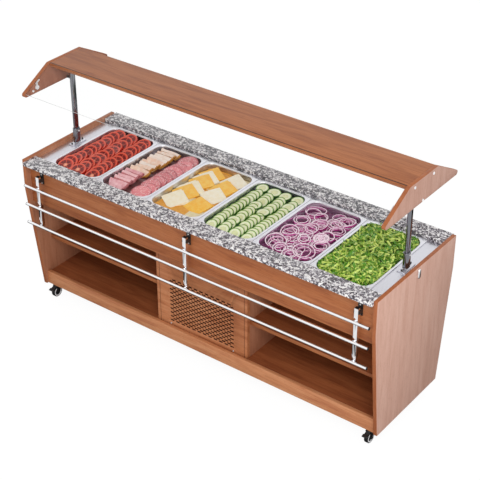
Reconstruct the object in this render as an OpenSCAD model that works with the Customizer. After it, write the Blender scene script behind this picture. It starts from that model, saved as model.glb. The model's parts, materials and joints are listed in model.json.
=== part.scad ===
// Mobile salad bar: a refrigerated well with six food pans, set in a wooden
// cabinet that rolls on four swivel casters. A hood with two sloping glass
// panes stands over the food on chrome posts, and a tray slide of three
// tubes hangs from the customers' side and swings up level.
// Millimetres. X runs along the bar, customers stand at -Y, Z is up.
// The origin is on the floor, under the middle of the whole bar.

/* [Cabinet] */
// Width of the deck between the end pans' rims and the side panels
deck_end_w = 80; // [76:1:110]
// Thickness of the wooden boards
board_t = 20; // [16:1:22]
// Height of the side panels' top above the floor
panel_top_z = 886; // [880:1:900]
// Height of the side panels' bottom above the floor
panel_bottom_z = 83; // [83:1:88]
// Height of the side panels' upright part, above the slanted part
panel_upright_h = 178; // [140:1:200]
// Depth of a side panel at its top
panel_top_d = 692; // [690:1:710]
// Depth of a side panel at its foot
panel_foot_d = 546; // [536:1:580]
// Height of the upright fascia boards, front and rear
fascia_h = 228; // [200:1:240]
// How far the fascias lie back from the panels' edges
fascia_recess = 32; // [26:1:34]

/* [Shelves] */
// Height of the bottom shelf's upper face
bottom_shelf_z = 150; // [140:1:165]
// Height of the plinth boards' upper edge above the bottom shelf
plinth_rise = 10; // [5:1:15]
// Depth of the bottom shelf, between the plinth boards
bottom_shelf_d = 484; // [484:1:500]
// Height of the middle shelves' upper face above the bottom shelf's
mid_shelf_rise = 221; // [200:1:260]
// How far the middle shelves lie back from the bottom shelf's edge
mid_shelf_setback = 32; // [28:1:60]
// Clear width of the machine bay between the partitions
machine_bay_w = 538; // [500:1:580]
// Thickness of the rear panel
rear_panel_t = 10; // [6:1:12]

/* [Machine bay grille] */
// Length of one slot
slot_l = 21; // [16:1:24]
// Height of one slot
slot_h = 6; // [4:0.5:7]
// Distance between slots in a row
slot_pitch = 35; // [32:1:36]
// Distance between rows
slot_row_pitch = 12; // [11:0.5:12]
// Slots in a full row
slot_count = 12; // [8:1:12]
// Number of rows
slot_rows = 22; // [10:1:23]
// Height of the lowest row above the bottom shelf
slot_first_rise = 32; // [25:1:40]

/* [Granite ledges] */
// Thickness of the granite
granite_t = 20; // [15:1:24]
// How far the granite stands out past the side panels
granite_overhang = 16; // [8:1:24]
// How far the granite's top lies below the side panels' top
granite_drop = 6; // [2:1:10]
// Radius of the granite's eased outer edges
granite_ease_r = 3; // [1:0.5:5]
// Gap between the granite and the pans' rims
granite_pan_gap = 2.5; // [1:0.5:4]

/* [Cold well] */
// Thickness of the stainless deck
deck_t = 2; // [1:0.5:4]
// How far the deck lies back under the granite's outer edge
deck_setback = 32; // [20:1:40]
// Depth of the tank below the deck's top
tank_depth = 140; // [130:1:150]
// Thickness of the tank's sheet
tank_wall = 2; // [1:0.5:3]
// Corner radius of the tank
tank_corner_r = 20; // [10:1:30]
// Width on which a pan's rim rests at the ends of the well
rim_rest_end = 5; // [4:0.5:6]
// Width on which a pan's rim rests at the front and rear
rim_rest_side = 9; // [6:0.5:10]
// Thickness of the casing's insulation at the ends
casing_end_t = 38; // [25:1:45]
// Thickness of the casing's floor
casing_floor_t = 28; // [20:1:32]
// Height of the gap between tank and casing floor, for the coil
coil_space = 12; // [11:0.5:16]
// Outer diameter of the cooling coil's tube
coil_d = 10; // [6:0.5:10]
// Distance between the coil's runs
coil_pitch = 76; // [60:1:80]
// Number of runs, an even number
coil_runs = 6; // [4:2:6]
// Distance from the well's ends to the ends of the coil's runs
coil_inset = 95; // [80:5:200]
// Outer diameter of the drain pipe
drain_d = 26; // [20:1:32]
// Wall of the drain pipe
drain_wall = 3; // [2:0.5:4]
// Length of the drain pipe below the tank
drain_l = 278; // [150:1:300]
// Width of the bars between the pans
bar_w = 18; // [12:1:22]
// Height of the bars between the pans
bar_h = 10; // [6:1:14]

/* [Food pans] */
// Number of pans
pan_count = 6; // [6:1:6]
// Distance between the pans' centres
pan_pitch = 327; // [326.5:0.5:330]
// Outer width of a pan's rim, along the bar
pan_w = 325; // [322:1:326]
// Outer length of a pan's rim, across the bar
pan_l = 530; // [528:1:534]
// Depth of a pan
pan_depth = 100; // [65:1:100]
// Height of a pan's rim above the deck
pan_rim_h = 5; // [3:0.5:8]
// Thickness of a pan's sheet
pan_wall = 1.2; // [0.8:0.1:2]
// Width of a pan's rim beside its bowl
pan_rim_side = 12.5; // [11.5:0.5:17.5]
// Width of a pan's rim at its bowl's ends
pan_rim_end = 13.5; // [12.5:0.5:17.5]
// Outer corner radius of a pan's bowl
bowl_r = 60; // [30:1:70]
// Corner radius of a pan's rim
pan_rim_r = 14; // [5:1:20]

/* [Food] */
// Depth of the food's flat bed in a pan
food_bed_h = 66; // [40:1:72]
// Gap between the food and the pan
food_gap = 1; // [0.5:0.5:4]
// Diameter of a tomato slice
tomato_d = 86; // [70:1:88]
// Diameter of a round meat slice
salami_d = 108; // [90:1:110]
// Diameter of a cucumber slice
cucumber_d = 62; // [45:1:64]
// Diameter of an onion ring
onion_d = 86; // [60:1:88]
// Side of a cheese square
cheese_w = 105; // [85:1:108]
// Height of the lettuce heap above its bed
lettuce_h = 42; // [25:1:50]

/* [Hood and posts] */
// Height of the hood's top above the floor
hood_top_z = 1354; // [1290:1:1440]
// Thickness of the hood's top board
hood_board_t = 18; // [12:1:24]
// Width of the hood's top board
hood_board_w = 240; // [200:1:280]
// Depth of the hood over the tips of its gables
hood_d = 620; // [560:1:680]
// Height of the gables
gable_h = 126; // [110:1:150]
// Radius of the gables' tips
gable_tip_r = 13; // [8:1:18]
// How far the gables' outer faces lie inside the cabinet's ends
gable_inset = 8; // [0:1:12]
// Thickness of the glass
glass_t = 5; // [4:0.5:8]
// How far the glass lies below the gables' slanted edges
glass_inset = 4; // [2:0.5:8]
// Length of the glass down its slope
glass_l = 206; // [180:1:208]
// Thickness of a post, along the bar
post_w = 20; // [16:1:24]
// Depth of a post, across the bar
post_d = 32; // [26:1:40]
// Wall of a post's tube
post_wall = 2; // [1:0.5:3]
// Distance from the side panel's inner face to a post's centre
post_inset = 44; // [36:1:46]
// Height of a post's socket
socket_h = 87; // [60:1:110]
// Wall of a post's socket
socket_wall = 4.5; // [3:0.5:6]
// Length of the socket's base flange
flange_l = 100; // [90:1:120]
// Width of the socket's base flange
flange_w = 44; // [40:1:48]
// Thickness of the socket's base flange
flange_t = 6; // [4:0.5:8]
// Height of the chrome bosses on the side panels
boss_h = 50; // [30:1:60]
// Width of the chrome bosses on the side panels
boss_w = 20; // [14:1:26]
// How far those bosses stand out
boss_out = 10; // [6:1:14]
// Diameter of the glass clips' discs
clip_d = 22; // [16:1:26]
// Thickness of the glass clips' discs
clip_t = 8; // [5:1:12]
// Distance from the hood board's edge out to the glass clips' discs
clip_out = 103; // [90:1:110]
// Height of those discs' middle above the gables' lower edge
clip_rise = 30; // [26:1:36]

/* [Tray slide] */
// Diameter of the tubes
rail_d = 16; // [12:1:20]
// Wall of the tubes
rail_wall = 1.5; // [1:0.5:2.5]
// Distance between the tubes
rail_pitch = 110; // [90:1:110]
// Distance from the pivot down to the first tube
rail_first = 45; // [40:1:55]
// Distance from the arms' middle forward to the tubes' middle
rail_offset = 22; // [20:1:26]
// How far the tubes' ends lie inside the side panels' inner faces
rail_end_gap = 2; // [0:1:40]
// Width of an arm, along the bar
arm_w = 20; // [16:1:24]
// Depth of an arm, across the bar
arm_d = 17; // [14:1:20]
// Wall of an arm's tube
arm_wall = 1.5; // [1:0.5:2]
// Distance from the side panels' inner faces to the outer arms' middle
arm_inset = 83; // [60:1:140]
// Length of an arm above its pivot
arm_tail = 23.5; // [20:0.5:23.5]
// Depth of the pivot below the deck
pivot_drop = 67; // [60:1:75]
// Distance from the fascia's face to the pivot
pivot_out = 29; // [29:0.5:32]
// Diameter of the pivot pins
pivot_pin_d = 8; // [6:0.5:9]
// Thickness of a bracket's back plate
bracket_plate_t = 3; // [2:0.5:3]
// Thickness of a bracket's cheeks
bracket_cheek_t = 2.5; // [2:0.5:4]
// Height of a bracket's back plate
bracket_h = 64; // [50:1:70]
// Thickness of the end caps
cap_t = 3; // [2:0.5:5]

/* [Casters] */
// Diameter of a wheel
wheel_d = 62; // [58:1:64]
// Width of a wheel
wheel_w = 22; // [18:1:24]
// Diameter of a wheel's light hub ring
hub_d = 48; // [42:1:52]
// Height of a caster from the floor to its plate's top
caster_h = 90; // [90:1:94]
// Distance of the wheels from the cabinet's side panels' outer faces
wheel_inset = 59; // [54:1:70]
// Distance of the wheels in front of and behind the middle plane
wheel_y = 242; // [236:1:246]
// Distance from the swivel axis to the wheel's axle
caster_trail = 28; // [26:1:34]
// Length of a caster's plate, along the bar
plate_l = 60; // [50:1:70]
// Depth of a caster's plate
plate_d = 54; // [46:1:54]
// Thickness of a caster's plate
plate_t = 3; // [2:0.5:4]
// Thickness of a fork's cheeks
fork_t = 2.5; // [2:0.5:3.5]
// Diameter of a wheel's axle
axle_d = 8; // [6:0.5:10]
// Diameter of a caster's king pin
king_pin_d = 10; // [8:0.5:12]
// Length of a brake pedal from its pin to its tip
pedal_l = 40; // [30:1:46]
// Slope of a brake pedal
pedal_slope = 20; // [15:1:24]
// Diameter of a brake pedal's pin
pedal_pin_d = 5; // [4:0.5:5]

/* [Machine] */
// Width of the condenser
condenser_w = 250; // [220:1:280]
// Depth of the condenser's core
condenser_d = 50; // [35:1:55]
// Height of the condenser
condenser_h = 230; // [216:1:260]
// Outer diameter of the fan
fan_d = 190; // [160:1:198]
// Inner diameter of the fan's ring
fan_ring_d = 200; // [200:1:206]
// Number of fan blades
fan_blades_n = 5; // [3:1:6]
// Diameter of the fan's shaft
fan_shaft_d = 8; // [6:0.5:10]
// Diameter of the fan's motor
motor_d = 80; // [60:1:90]
// Length of the fan's motor
motor_l = 64; // [50:1:70]
// Diameter of the compressor
compressor_d = 150; // [130:1:160]
// Height of the compressor
compressor_h = 200; // [170:1:210]

/* [Controls] */
// Width of the control plate on the rear fascia
control_w = 200; // [190:1:230]
// Height of the control plate
control_h = 66; // [60:1:80]
// Depth of the control plate's middle below the deck
control_drop = 110; // [100:1:120]
// Diameter of the thermostat's knob
knob_d = 38; // [28:1:44]
// Depth of the thermostat's knob
knob_t = 16; // [12:1:22]
// Diameter of the thermostat's shaft
knob_shaft_d = 8; // [5:0.5:10]
// Tilt of the switch's rocker to each side
rocker_tilt = 10; // [6:1:12]

/* [Fits] */
// Radial clearance of pins, shafts and axles that turn in bores
running_fit = 0.05; // [0.03:0.01:0.08]
// Gap between faces that turn or slide past each other
face_gap = 0.3; // [0.2:0.05:0.5]
// Clearance of each side of an arm in its bracket
arm_side_gap = 0.5; // [0.3:0.1:1]
// Clearance of each side of a wheel in its fork
wheel_side_gap = 1.5; // [1:0.1:2]
// Clearance around pieces that are pushed or screwed together
slip_fit = 0.3; // [0.1:0.05:0.5]

/* [Hidden] */
$fn = 64;

WOOD = "#96502b";
WOOD_DARK = "#5f3420";
WOOD_PALE = "#c99c86";
GRANITE = "#aaa4ab";
STAINLESS = "#cfd0d4";
CHROME = "#dfe1e4";
BLACK = "#222222";
COPPER = "#b5673a";
FOAM = "#d8d2c0";
GLASS = "#d9ece8";
WHITE = "#f0f0f0";

// Wooden carcass
pans_half_l = ((pan_count - 1) * pan_pitch + pan_w) / 2;
inner_l = pans_half_l + deck_end_w;
half_l = inner_l + board_t;
panel_top_y = panel_top_d / 2;
panel_foot_y = panel_foot_d / 2;
panel_knee_z = panel_top_z - panel_upright_h;
fascia_y = panel_top_y - fascia_recess;
fascia_back_y = fascia_y - board_t;
shelf_y = bottom_shelf_d / 2;
bay_half_w = machine_bay_w / 2;
bay_outer_w = bay_half_w + board_t;
front_line_y = shelf_y - mid_shelf_setback;
grille_y = front_line_y + board_t;
rear_inner_y = shelf_y - rear_panel_t;
mid_shelf_z = bottom_shelf_z + mid_shelf_rise;

// Granite and deck
granite_top_z = panel_top_z - granite_drop;
deck_z = granite_top_z - granite_t;
deck_under_z = deck_z - deck_t;
granite_y = panel_top_y + granite_overhang;
granite_inner_y = pan_l / 2 + granite_pan_gap;
deck_y = granite_y - deck_setback;

// Tank, casing and coil
well_half_l = pans_half_l - rim_rest_end;
well_half_w = pan_l / 2 - rim_rest_side;
tank_floor_z = deck_z - tank_depth;
tank_under_z = tank_floor_z - tank_wall;
casing_floor_z = tank_under_z - coil_space;
casing_under_z = casing_floor_z - casing_floor_t;
casing_half_l = well_half_l + tank_wall + casing_end_t;
casing_y = fascia_back_y - 1;
coil_z = tank_under_z - slip_fit - coil_d / 2;
coil_first_y = (coil_runs - 1) * coil_pitch / 2;
coil_reach = well_half_l - coil_inset;
pipe_x = 20;
pipe_joint_z = bottom_shelf_z + max(condenser_h, compressor_h) + 10;
pipe_hole_d = coil_d + 2;
drain_x = -150;

// Pans and food
rim_top_z = deck_z + pan_rim_h;
bowl_under_z = rim_top_z - pan_depth;
bowl_floor_z = bowl_under_z + pan_wall;
food_z = bowl_floor_z + slip_fit;
food_top_z = food_z + food_bed_h;
bowl_w = pan_w - 2 * pan_rim_side;
bowl_l = pan_l - 2 * pan_rim_end;
food_w = bowl_w - 2 * pan_wall - 2 * food_gap;
food_l = bowl_l - 2 * pan_wall - 2 * food_gap;
food_r = bowl_r - pan_wall - food_gap;

// Hood
hood_under_z = hood_top_z - hood_board_t;
gable_x = half_l - gable_inset;
gable_inner_x = gable_x - board_t;
gable_bottom_z = hood_top_z - gable_h;
hood_edge_y = hood_board_w / 2;
tip_y = hood_d / 2 - gable_tip_r;
tip_z = gable_bottom_z + gable_tip_r;
tip_dy = tip_y - hood_edge_y;
tip_dz = hood_top_z - tip_z;
hood_slope = atan2(tip_dz, tip_dy) - asin(gable_tip_r / norm([tip_dy, tip_dz]));
glass_start = (glass_inset + glass_t) * tan(hood_slope) + face_gap / cos(hood_slope);
post_x = inner_l - post_inset;
socket_w = post_w + 2 * (slip_fit + socket_wall);
socket_d = post_d + 2 * (slip_fit + socket_wall);
spacer_z = gable_bottom_z + 8;
spacer_d = 16;
boss_z = deck_z - 5;

// Tray slide
pivot_y = fascia_y + pivot_out;
pivot_z = deck_z - pivot_drop;
rail_y = pivot_y + rail_offset;
rail_half_l = inner_l - rail_end_gap;
arm_end_l = rail_first + 2 * rail_pitch + 6;
arm_spread = inner_l - arm_inset;
arm_x = [-arm_spread, 0, arm_spread];
cheek_half_w = arm_w / 2 + arm_side_gap;

// Casters
wheel_r = wheel_d / 2;
wheel_x = half_l - wheel_inset;
swivel_y = wheel_y - caster_trail;
block_top_z = bottom_shelf_z - board_t;
plate_under_z = caster_h - plate_t;
race_d = 40;
race_h = 8.5;
crown_top_z = plate_under_z - race_h - face_gap;
crown_t = 4;
crown_z = crown_top_z - crown_t;
fork_half_w = wheel_w / 2 + wheel_side_gap;
ear_out = 8;
ear_z = wheel_d + pedal_pin_d / 2 + 3;
ear_r = 5;

// Machine bay
condenser_y = -(front_line_y - 5);
condenser_back_y = condenser_y + condenser_d;
fan_z = bottom_shelf_z + condenser_h / 2;
shroud_l = 62;
motor_y = condenser_back_y + shroud_l + 4;
hub_l = 26;
fan_y = motor_y - hub_l - 6;
compressor_y = 140;

// Controls
control_z = deck_z - control_drop;
control_t = 3;
knob_x = -70;
rocker_x = 0;
inlet_x = 65;
rocker_w = 14;
rocker_h = 21;

// The whole bar's middle lies behind the cabinet's middle plane, because
// the tray slide reaches further out than the rear ledge
front_reach = rail_y + rail_d / 2;
cabinet_y = (front_reach - granite_y) / 2;

// ---- Helpers ----

// Moves a piece from the cabinet's middle plane to the bar's own origin
module in_place() {
    translate([0, cabinet_y, 0]) children();
}

// A box between two values on each axis
module slab(x, y, z) {
    translate([x[0], y[0], z[0]]) cube([x[1] - x[0], y[1] - y[0], z[1] - z[0]]);
}

module both_ends() {
    children();
    mirror([1, 0, 0]) children();
}

module both_sides() {
    children();
    mirror([0, 1, 0]) children();
}

// An outline drawn in Y and Z, drawn out along X
module along_x(x0, x1) {
    translate([x0, 0, 0]) rotate([90, 0, 90]) linear_extrude(x1 - x0) children();
}

// An outline drawn in X and Z, drawn out along Y
module along_y(y0, y1) {
    translate([0, y1, 0]) rotate([90, 0, 0]) linear_extrude(y1 - y0) children();
}

module rod_x(d, x0, x1, y, z) {
    translate([x0, y, z]) rotate([0, 90, 0]) cylinder(d = d, h = x1 - x0);
}

module rod_y(d, y0, y1, x, z) {
    translate([x, y1, z]) rotate([90, 0, 0]) cylinder(d = d, h = y1 - y0);
}

module rounded_rect(w, l, r) {
    square([w, l - 2 * r], center = true);
    square([w - 2 * r, l], center = true);
    for (x = [-1, 1], y = [-1, 1])
        translate([x * (w / 2 - r), y * (l / 2 - r)]) circle(r = r);
}

// A rectangle with half-round ends, upright along its second size
module obround(w, l) {
    square([w, l - w], center = true);
    for (y = [-1, 1])
        translate([0, y * (l - w) / 2]) circle(d = w);
}

// ---- Wooden carcass ----

module panel_outline() {
    polygon([
        [-panel_foot_y, panel_bottom_z], [panel_foot_y, panel_bottom_z],
        [panel_top_y, panel_knee_z], [panel_top_y, panel_top_z],
        [-panel_top_y, panel_top_z], [-panel_top_y, panel_knee_z]
    ]);
}

module side_panel() {
    color(WOOD_PALE) in_place() along_x(inner_l, half_l) panel_outline();
}

module side_panel_right() {
    side_panel();
}

module side_panel_left() {
    mirror([1, 0, 0]) side_panel();
}

module fascia_board() {
    slab([-inner_l, inner_l], [fascia_back_y, fascia_y],
        [deck_under_z - fascia_h, deck_under_z]);
}

module front_fascia() {
    color(WOOD) in_place() mirror([0, 1, 0]) fascia_board();
}

module rear_fascia() {
    color(WOOD) in_place() difference() {
        fascia_board();
        slab([-control_w / 2 + 9, control_w / 2 - 9],
            [fascia_back_y - 1, fascia_y + 1],
            [control_z - control_h / 2 + 10, control_z + control_h / 2 - 10]);
    }
}

module bottom_shelf() {
    color(WOOD_DARK) in_place() {
        slab([-inner_l, inner_l], [-shelf_y, shelf_y], [block_top_z, bottom_shelf_z]);
        both_ends() both_sides()
            slab([wheel_x - plate_l / 2, wheel_x + plate_l / 2],
                [swivel_y - plate_d / 2, swivel_y + plate_d / 2],
                [caster_h, block_top_z]);
    }
}

module plinth_boards() {
    color(WOOD) in_place() both_sides()
        slab([-inner_l, inner_l], [shelf_y, shelf_y + board_t],
            [panel_bottom_z, bottom_shelf_z + plinth_rise]);
}

module mid_shelves() {
    color(WOOD_DARK) in_place() both_ends()
        slab([bay_outer_w, inner_l], [-front_line_y, rear_inner_y],
            [mid_shelf_z - board_t, mid_shelf_z]);
}

module partitions() {
    color(WOOD_DARK) in_place() both_ends()
        slab([bay_half_w, bay_outer_w], [-front_line_y, rear_inner_y],
            [bottom_shelf_z, casing_under_z]);
}

// Rows of slots, every other row moved on by half a pitch
module slot_field() {
    for (row = [0 : slot_rows - 1]) {
        shift = row % 2 == 0 ? 0 : slot_pitch / 2;
        count = row % 2 == 0 ? slot_count : slot_count - 1;
        for (i = [0 : count - 1])
            translate([(i - (slot_count - 1) / 2) * slot_pitch + shift,
                bottom_shelf_z + slot_first_rise + row * slot_row_pitch])
                rotate(90) obround(slot_h, slot_l);
    }
}

module grille_panel() {
    color(WOOD) in_place() along_y(-grille_y, -front_line_y) difference() {
        translate([-bay_outer_w, bottom_shelf_z])
            square([2 * bay_outer_w, casing_under_z - bottom_shelf_z]);
        slot_field();
    }
}

module rear_panel() {
    vent_rows = 8;
    vent_l = 180;
    color(WOOD_DARK) in_place() along_y(rear_inner_y, shelf_y) difference() {
        translate([-inner_l, bottom_shelf_z])
            square([2 * inner_l, casing_under_z - bottom_shelf_z]);
        for (row = [0 : vent_rows - 1], side = [-1, 1])
            translate([side * machine_bay_w / 4, fan_z + (row - vent_rows / 2) * 3 * slot_h])
                rotate(90) obround(slot_h, vent_l);
    }
}

// ---- Granite, deck and cold well ----

module granite_ledge() {
    ease = granite_ease_r;
    color(GRANITE) in_place() along_x(-inner_l, inner_l) union() {
        translate([granite_inner_y, deck_z])
            square([granite_y - ease - granite_inner_y, granite_t]);
        translate([granite_y - 2 * ease, deck_z + ease])
            square([2 * ease, granite_t - 2 * ease]);
        for (z = [deck_z + ease, granite_top_z - ease])
            translate([granite_y - ease, z]) circle(r = ease);
    }
}

module granite_rear() {
    granite_ledge();
}

module granite_front() {
    translate([0, 2 * cabinet_y, 0]) mirror([0, 1, 0]) granite_ledge();
}

module well_outline(grow) {
    rounded_rect(2 * (well_half_l + grow), 2 * (well_half_w + grow), tank_corner_r + grow);
}

module well_deck() {
    color(STAINLESS) in_place() translate([0, 0, deck_under_z])
        linear_extrude(deck_t) difference() {
            square([2 * inner_l, 2 * deck_y], center = true);
            well_outline(0);
        }
}

module well_tank() {
    color(STAINLESS) in_place() difference() {
        translate([0, 0, tank_under_z])
            linear_extrude(deck_under_z - tank_under_z) well_outline(tank_wall);
        translate([0, 0, tank_floor_z])
            linear_extrude(deck_z - tank_floor_z) well_outline(0);
        translate([drain_x, 0, tank_under_z - 1])
            cylinder(d = drain_d - 2 * drain_wall, h = tank_wall + 2);
    }
}

module tank_casing() {
    color(FOAM) in_place() difference() {
        slab([-casing_half_l, casing_half_l], [-casing_y, casing_y],
            [casing_under_z, deck_under_z]);
        translate([0, 0, casing_floor_z])
            linear_extrude(deck_z - casing_floor_z) well_outline(tank_wall + slip_fit);
        translate([drain_x, 0, casing_under_z - 1])
            cylinder(d = drain_d + 2 * slip_fit, h = casing_floor_t + 2);
        for (y = [-coil_first_y, coil_first_y])
            translate([pipe_x, y, casing_under_z - 1])
                cylinder(d = pipe_hole_d, h = casing_floor_t + 2);
    }
}

module pan_bars() {
    color(STAINLESS) in_place() for (i = [1 : pan_count - 1])
        translate([(i - pan_count / 2) * pan_pitch, 0, deck_z - bar_h / 2])
            cube([bar_w, 2 * well_half_w, bar_h], center = true);
}

// Straight runs joined by half circles, and a pipe down from each end
module cooling_coil() {
    color(COPPER) in_place() {
        for (i = [0 : coil_runs - 1]) {
            outer = i == 0 || i == coil_runs - 1;
            rod_x(coil_d, outer ? pipe_x : -coil_reach, coil_reach,
                i * coil_pitch - coil_first_y, coil_z);
        }
        for (i = [0 : coil_runs - 2]) {
            side = i % 2 == 0 ? 1 : -1;
            translate([side * coil_reach, (i + 0.5) * coil_pitch - coil_first_y, coil_z])
                rotate([0, 0, side > 0 ? -90 : 90])
                    rotate_extrude(angle = 180)
                        translate([coil_pitch / 2, 0]) circle(d = coil_d);
        }
        for (y = [-coil_first_y, coil_first_y]) {
            translate([pipe_x, y, coil_z]) sphere(d = coil_d);
            translate([pipe_x, y, pipe_joint_z])
                cylinder(d = coil_d, h = coil_z - pipe_joint_z);
        }
    }
}

module drain_pipe() {
    cup_h = 14;
    color(STAINLESS) in_place() translate([drain_x, 0, 0]) difference() {
        union() {
            translate([0, 0, tank_under_z - drain_l])
                cylinder(d = drain_d, h = drain_l);
            translate([0, 0, tank_under_z - drain_l])
                cylinder(d = drain_d + 10, h = cup_h);
        }
        translate([0, 0, tank_under_z - drain_l - 1])
            cylinder(d = drain_d - 2 * drain_wall, h = drain_l + 2);
    }
}

// ---- Hood and posts ----

module gable_outline() {
    dy = gable_tip_r * sin(hood_slope);
    dz = gable_tip_r * cos(hood_slope);
    polygon([
        [-tip_y, gable_bottom_z], [tip_y, gable_bottom_z], [tip_y, tip_z],
        [tip_y + dy, tip_z + dz], [hood_edge_y, hood_top_z],
        [-hood_edge_y, hood_top_z], [-tip_y - dy, tip_z + dz], [-tip_y, tip_z]
    ]);
    for (side = [-1, 1])
        translate([side * tip_y, tip_z]) circle(r = gable_tip_r);
}

module gable_right() {
    color(WOOD) in_place() along_x(gable_inner_x, gable_x) gable_outline();
}

module gable_left() {
    mirror([1, 0, 0]) gable_right();
}

module hood_board() {
    color(WOOD) in_place()
        slab([-gable_inner_x, gable_inner_x], [-hood_edge_y, hood_edge_y],
            [hood_under_z, hood_top_z]);
}

// Puts its children on the rear slope: Y runs down it, Z stands out of it
module on_slope() {
    translate([0, hood_edge_y, hood_top_z]) rotate([-hood_slope, 0, 0]) children();
}

module glass_guards() {
    color(GLASS) in_place() both_sides() on_slope()
        slab([-gable_inner_x, gable_inner_x], [glass_start, glass_start + glass_l],
            [-glass_inset - glass_t, -glass_inset]);
}

// A disc on the gable carries a pad under the glass, with a stay between
module glass_clips() {
    clip_y = hood_edge_y + clip_out;
    clip_z = gable_bottom_z + clip_rise;
    stud_out = 29;
    stud_drop = 11;
    stay_w = 9;
    pad_l = 30;
    pad_t = 3;
    glass_under = glass_inset + glass_t;
    pad_mid = (clip_y - hood_edge_y) / cos(hood_slope);
    color(WHITE) in_place() both_ends() both_sides() {
        rod_x(clip_d, gable_inner_x - clip_t, gable_inner_x, clip_y, clip_z);
        on_slope()
            slab([gable_inner_x - clip_t, gable_inner_x],
                [pad_mid - pad_l / 2, pad_mid + pad_l / 2],
                [-glass_under - pad_t, -glass_under]);
        difference() {
            slab([gable_inner_x - clip_t + 2, gable_inner_x],
                [clip_y - stay_w / 2, clip_y + stay_w / 2], [clip_z, hood_top_z]);
            on_slope()
                slab([0, half_l], [0, 2 * glass_l], [-glass_under, hood_top_z]);
        }
        rod_x(clip_d / 2, gable_inner_x - clip_t + 2, gable_inner_x, clip_y + stud_out,
            clip_z - stud_drop);
    }
}

module posts() {
    color(CHROME) in_place() both_ends() {
        translate([post_x, 0, deck_z]) linear_extrude(hood_under_z - deck_z) difference() {
            obround(post_w, post_d);
            obround(post_w - 2 * post_wall, post_d - 2 * post_wall);
        }
        rod_x(spacer_d, post_x + post_w / 2, gable_inner_x, 0, spacer_z);
    }
}

// The sockets on the deck, and the bosses that close their bolts outside
module post_sockets() {
    color(CHROME) in_place() both_ends() {
        translate([post_x, 0, deck_z]) difference() {
            union() {
                linear_extrude(socket_h) obround(socket_w, socket_d);
                linear_extrude(flange_t) rounded_rect(flange_w, flange_l, 6);
            }
            translate([0, 0, -1]) linear_extrude(socket_h + 2)
                obround(post_w + 2 * slip_fit, post_d + 2 * slip_fit);
        }
        along_x(half_l, half_l + boss_out)
            translate([0, boss_z]) obround(boss_w, boss_h);
    }
}

// ---- Tray slide ----

module rail_places() {
    for (i = [0 : 2])
        translate([0, -rail_y, pivot_z - rail_first - i * rail_pitch]) children();
}

module tray_brackets() {
    cheek_out = cheek_half_w + bracket_cheek_t;
    cheek_r = 10;
    color(CHROME) in_place() for (x = arm_x) {
        slab([x - cheek_out, x + cheek_out],
            [-fascia_y - bracket_plate_t, -fascia_y],
            [pivot_z - bracket_h / 2, pivot_z + bracket_h / 2]);
        for (x0 = [x - cheek_out, x + cheek_half_w])
            along_x(x0, x0 + bracket_cheek_t) union() {
                translate([-pivot_y, pivot_z - cheek_r])
                    square([pivot_out - bracket_plate_t, 2 * cheek_r]);
                translate([-pivot_y, pivot_z]) circle(r = cheek_r);
            }
        rod_x(pivot_pin_d, x - cheek_out - 1.5, x + cheek_out + 1.5, -pivot_y, pivot_z);
    }
}

module arm_shell(w, d) {
    tube_top = arm_tail - cap_t;
    tube_l = arm_end_l + tube_top - cap_t;
    translate([-w / 2, -d / 2, tube_top - tube_l]) cube([w, d, tube_l]);
}

module tray_arms() {
    bush_d = pivot_pin_d + 5;
    stud_d = 9;
    color(CHROME) in_place() for (x = arm_x) {
        difference() {
            translate([x, -pivot_y, pivot_z]) union() {
                difference() {
                    arm_shell(arm_w, arm_d);
                    translate([0, 0, arm_tail]) mirror([0, 0, 1])
                        linear_extrude(arm_tail + arm_end_l)
                            square([arm_w - 2 * arm_wall, arm_d - 2 * arm_wall], center = true);
                }
                rod_x(bush_d, -arm_w / 2, arm_w / 2, 0, 0);
            }
            rod_x(pivot_pin_d + 2 * running_fit, x - arm_w, x + arm_w, -pivot_y, pivot_z);
        }
        difference() {
            for (i = [0 : 2])
                rod_y(stud_d, -rail_y, -pivot_y - arm_d / 2, x,
                    pivot_z - rail_first - i * rail_pitch);
            rail_places() rod_x(rail_d + 2 * running_fit, x - stud_d, x + stud_d, 0, 0);
        }
    }
}

module tray_rails() {
    end = rail_half_l - cap_t;
    color(CHROME) in_place() rail_places() difference() {
        rod_x(rail_d, -end, end, 0, 0);
        rod_x(rail_d - 2 * rail_wall, -end - 1, end + 1, 0, 0);
    }
}

module tray_caps() {
    plug_l = 10;
    plug_w = arm_w - 2 * arm_wall - 2 * slip_fit;
    plug_d = arm_d - 2 * arm_wall - 2 * slip_fit;
    tube_top = pivot_z + arm_tail - cap_t;
    tube_end = pivot_z - arm_end_l + cap_t;
    stub_l = 8;
    color(BLACK) in_place() {
        rail_places() both_ends() {
            rod_x(rail_d, rail_half_l - cap_t, rail_half_l, 0, 0);
            rod_x(rail_d - 2 * rail_wall - 2 * slip_fit,
                rail_half_l - cap_t - plug_l, rail_half_l - cap_t, 0, 0);
        }
        for (x = arm_x) translate([x, -pivot_y, 0]) {
            slab([-arm_w / 2, arm_w / 2], [-arm_d / 2, arm_d / 2], [tube_top, tube_top + cap_t]);
            slab([-plug_w / 2, plug_w / 2], [-plug_d / 2, plug_d / 2],
                [tube_top - stub_l, tube_top]);
            slab([-arm_w / 2, arm_w / 2], [-arm_d / 2, arm_d / 2], [tube_end - cap_t, tube_end]);
            slab([-plug_w / 2, plug_w / 2], [-plug_d / 2, plug_d / 2],
                [tube_end, tube_end + stub_l]);
        }
    }
}

// ---- Casters ----

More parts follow.
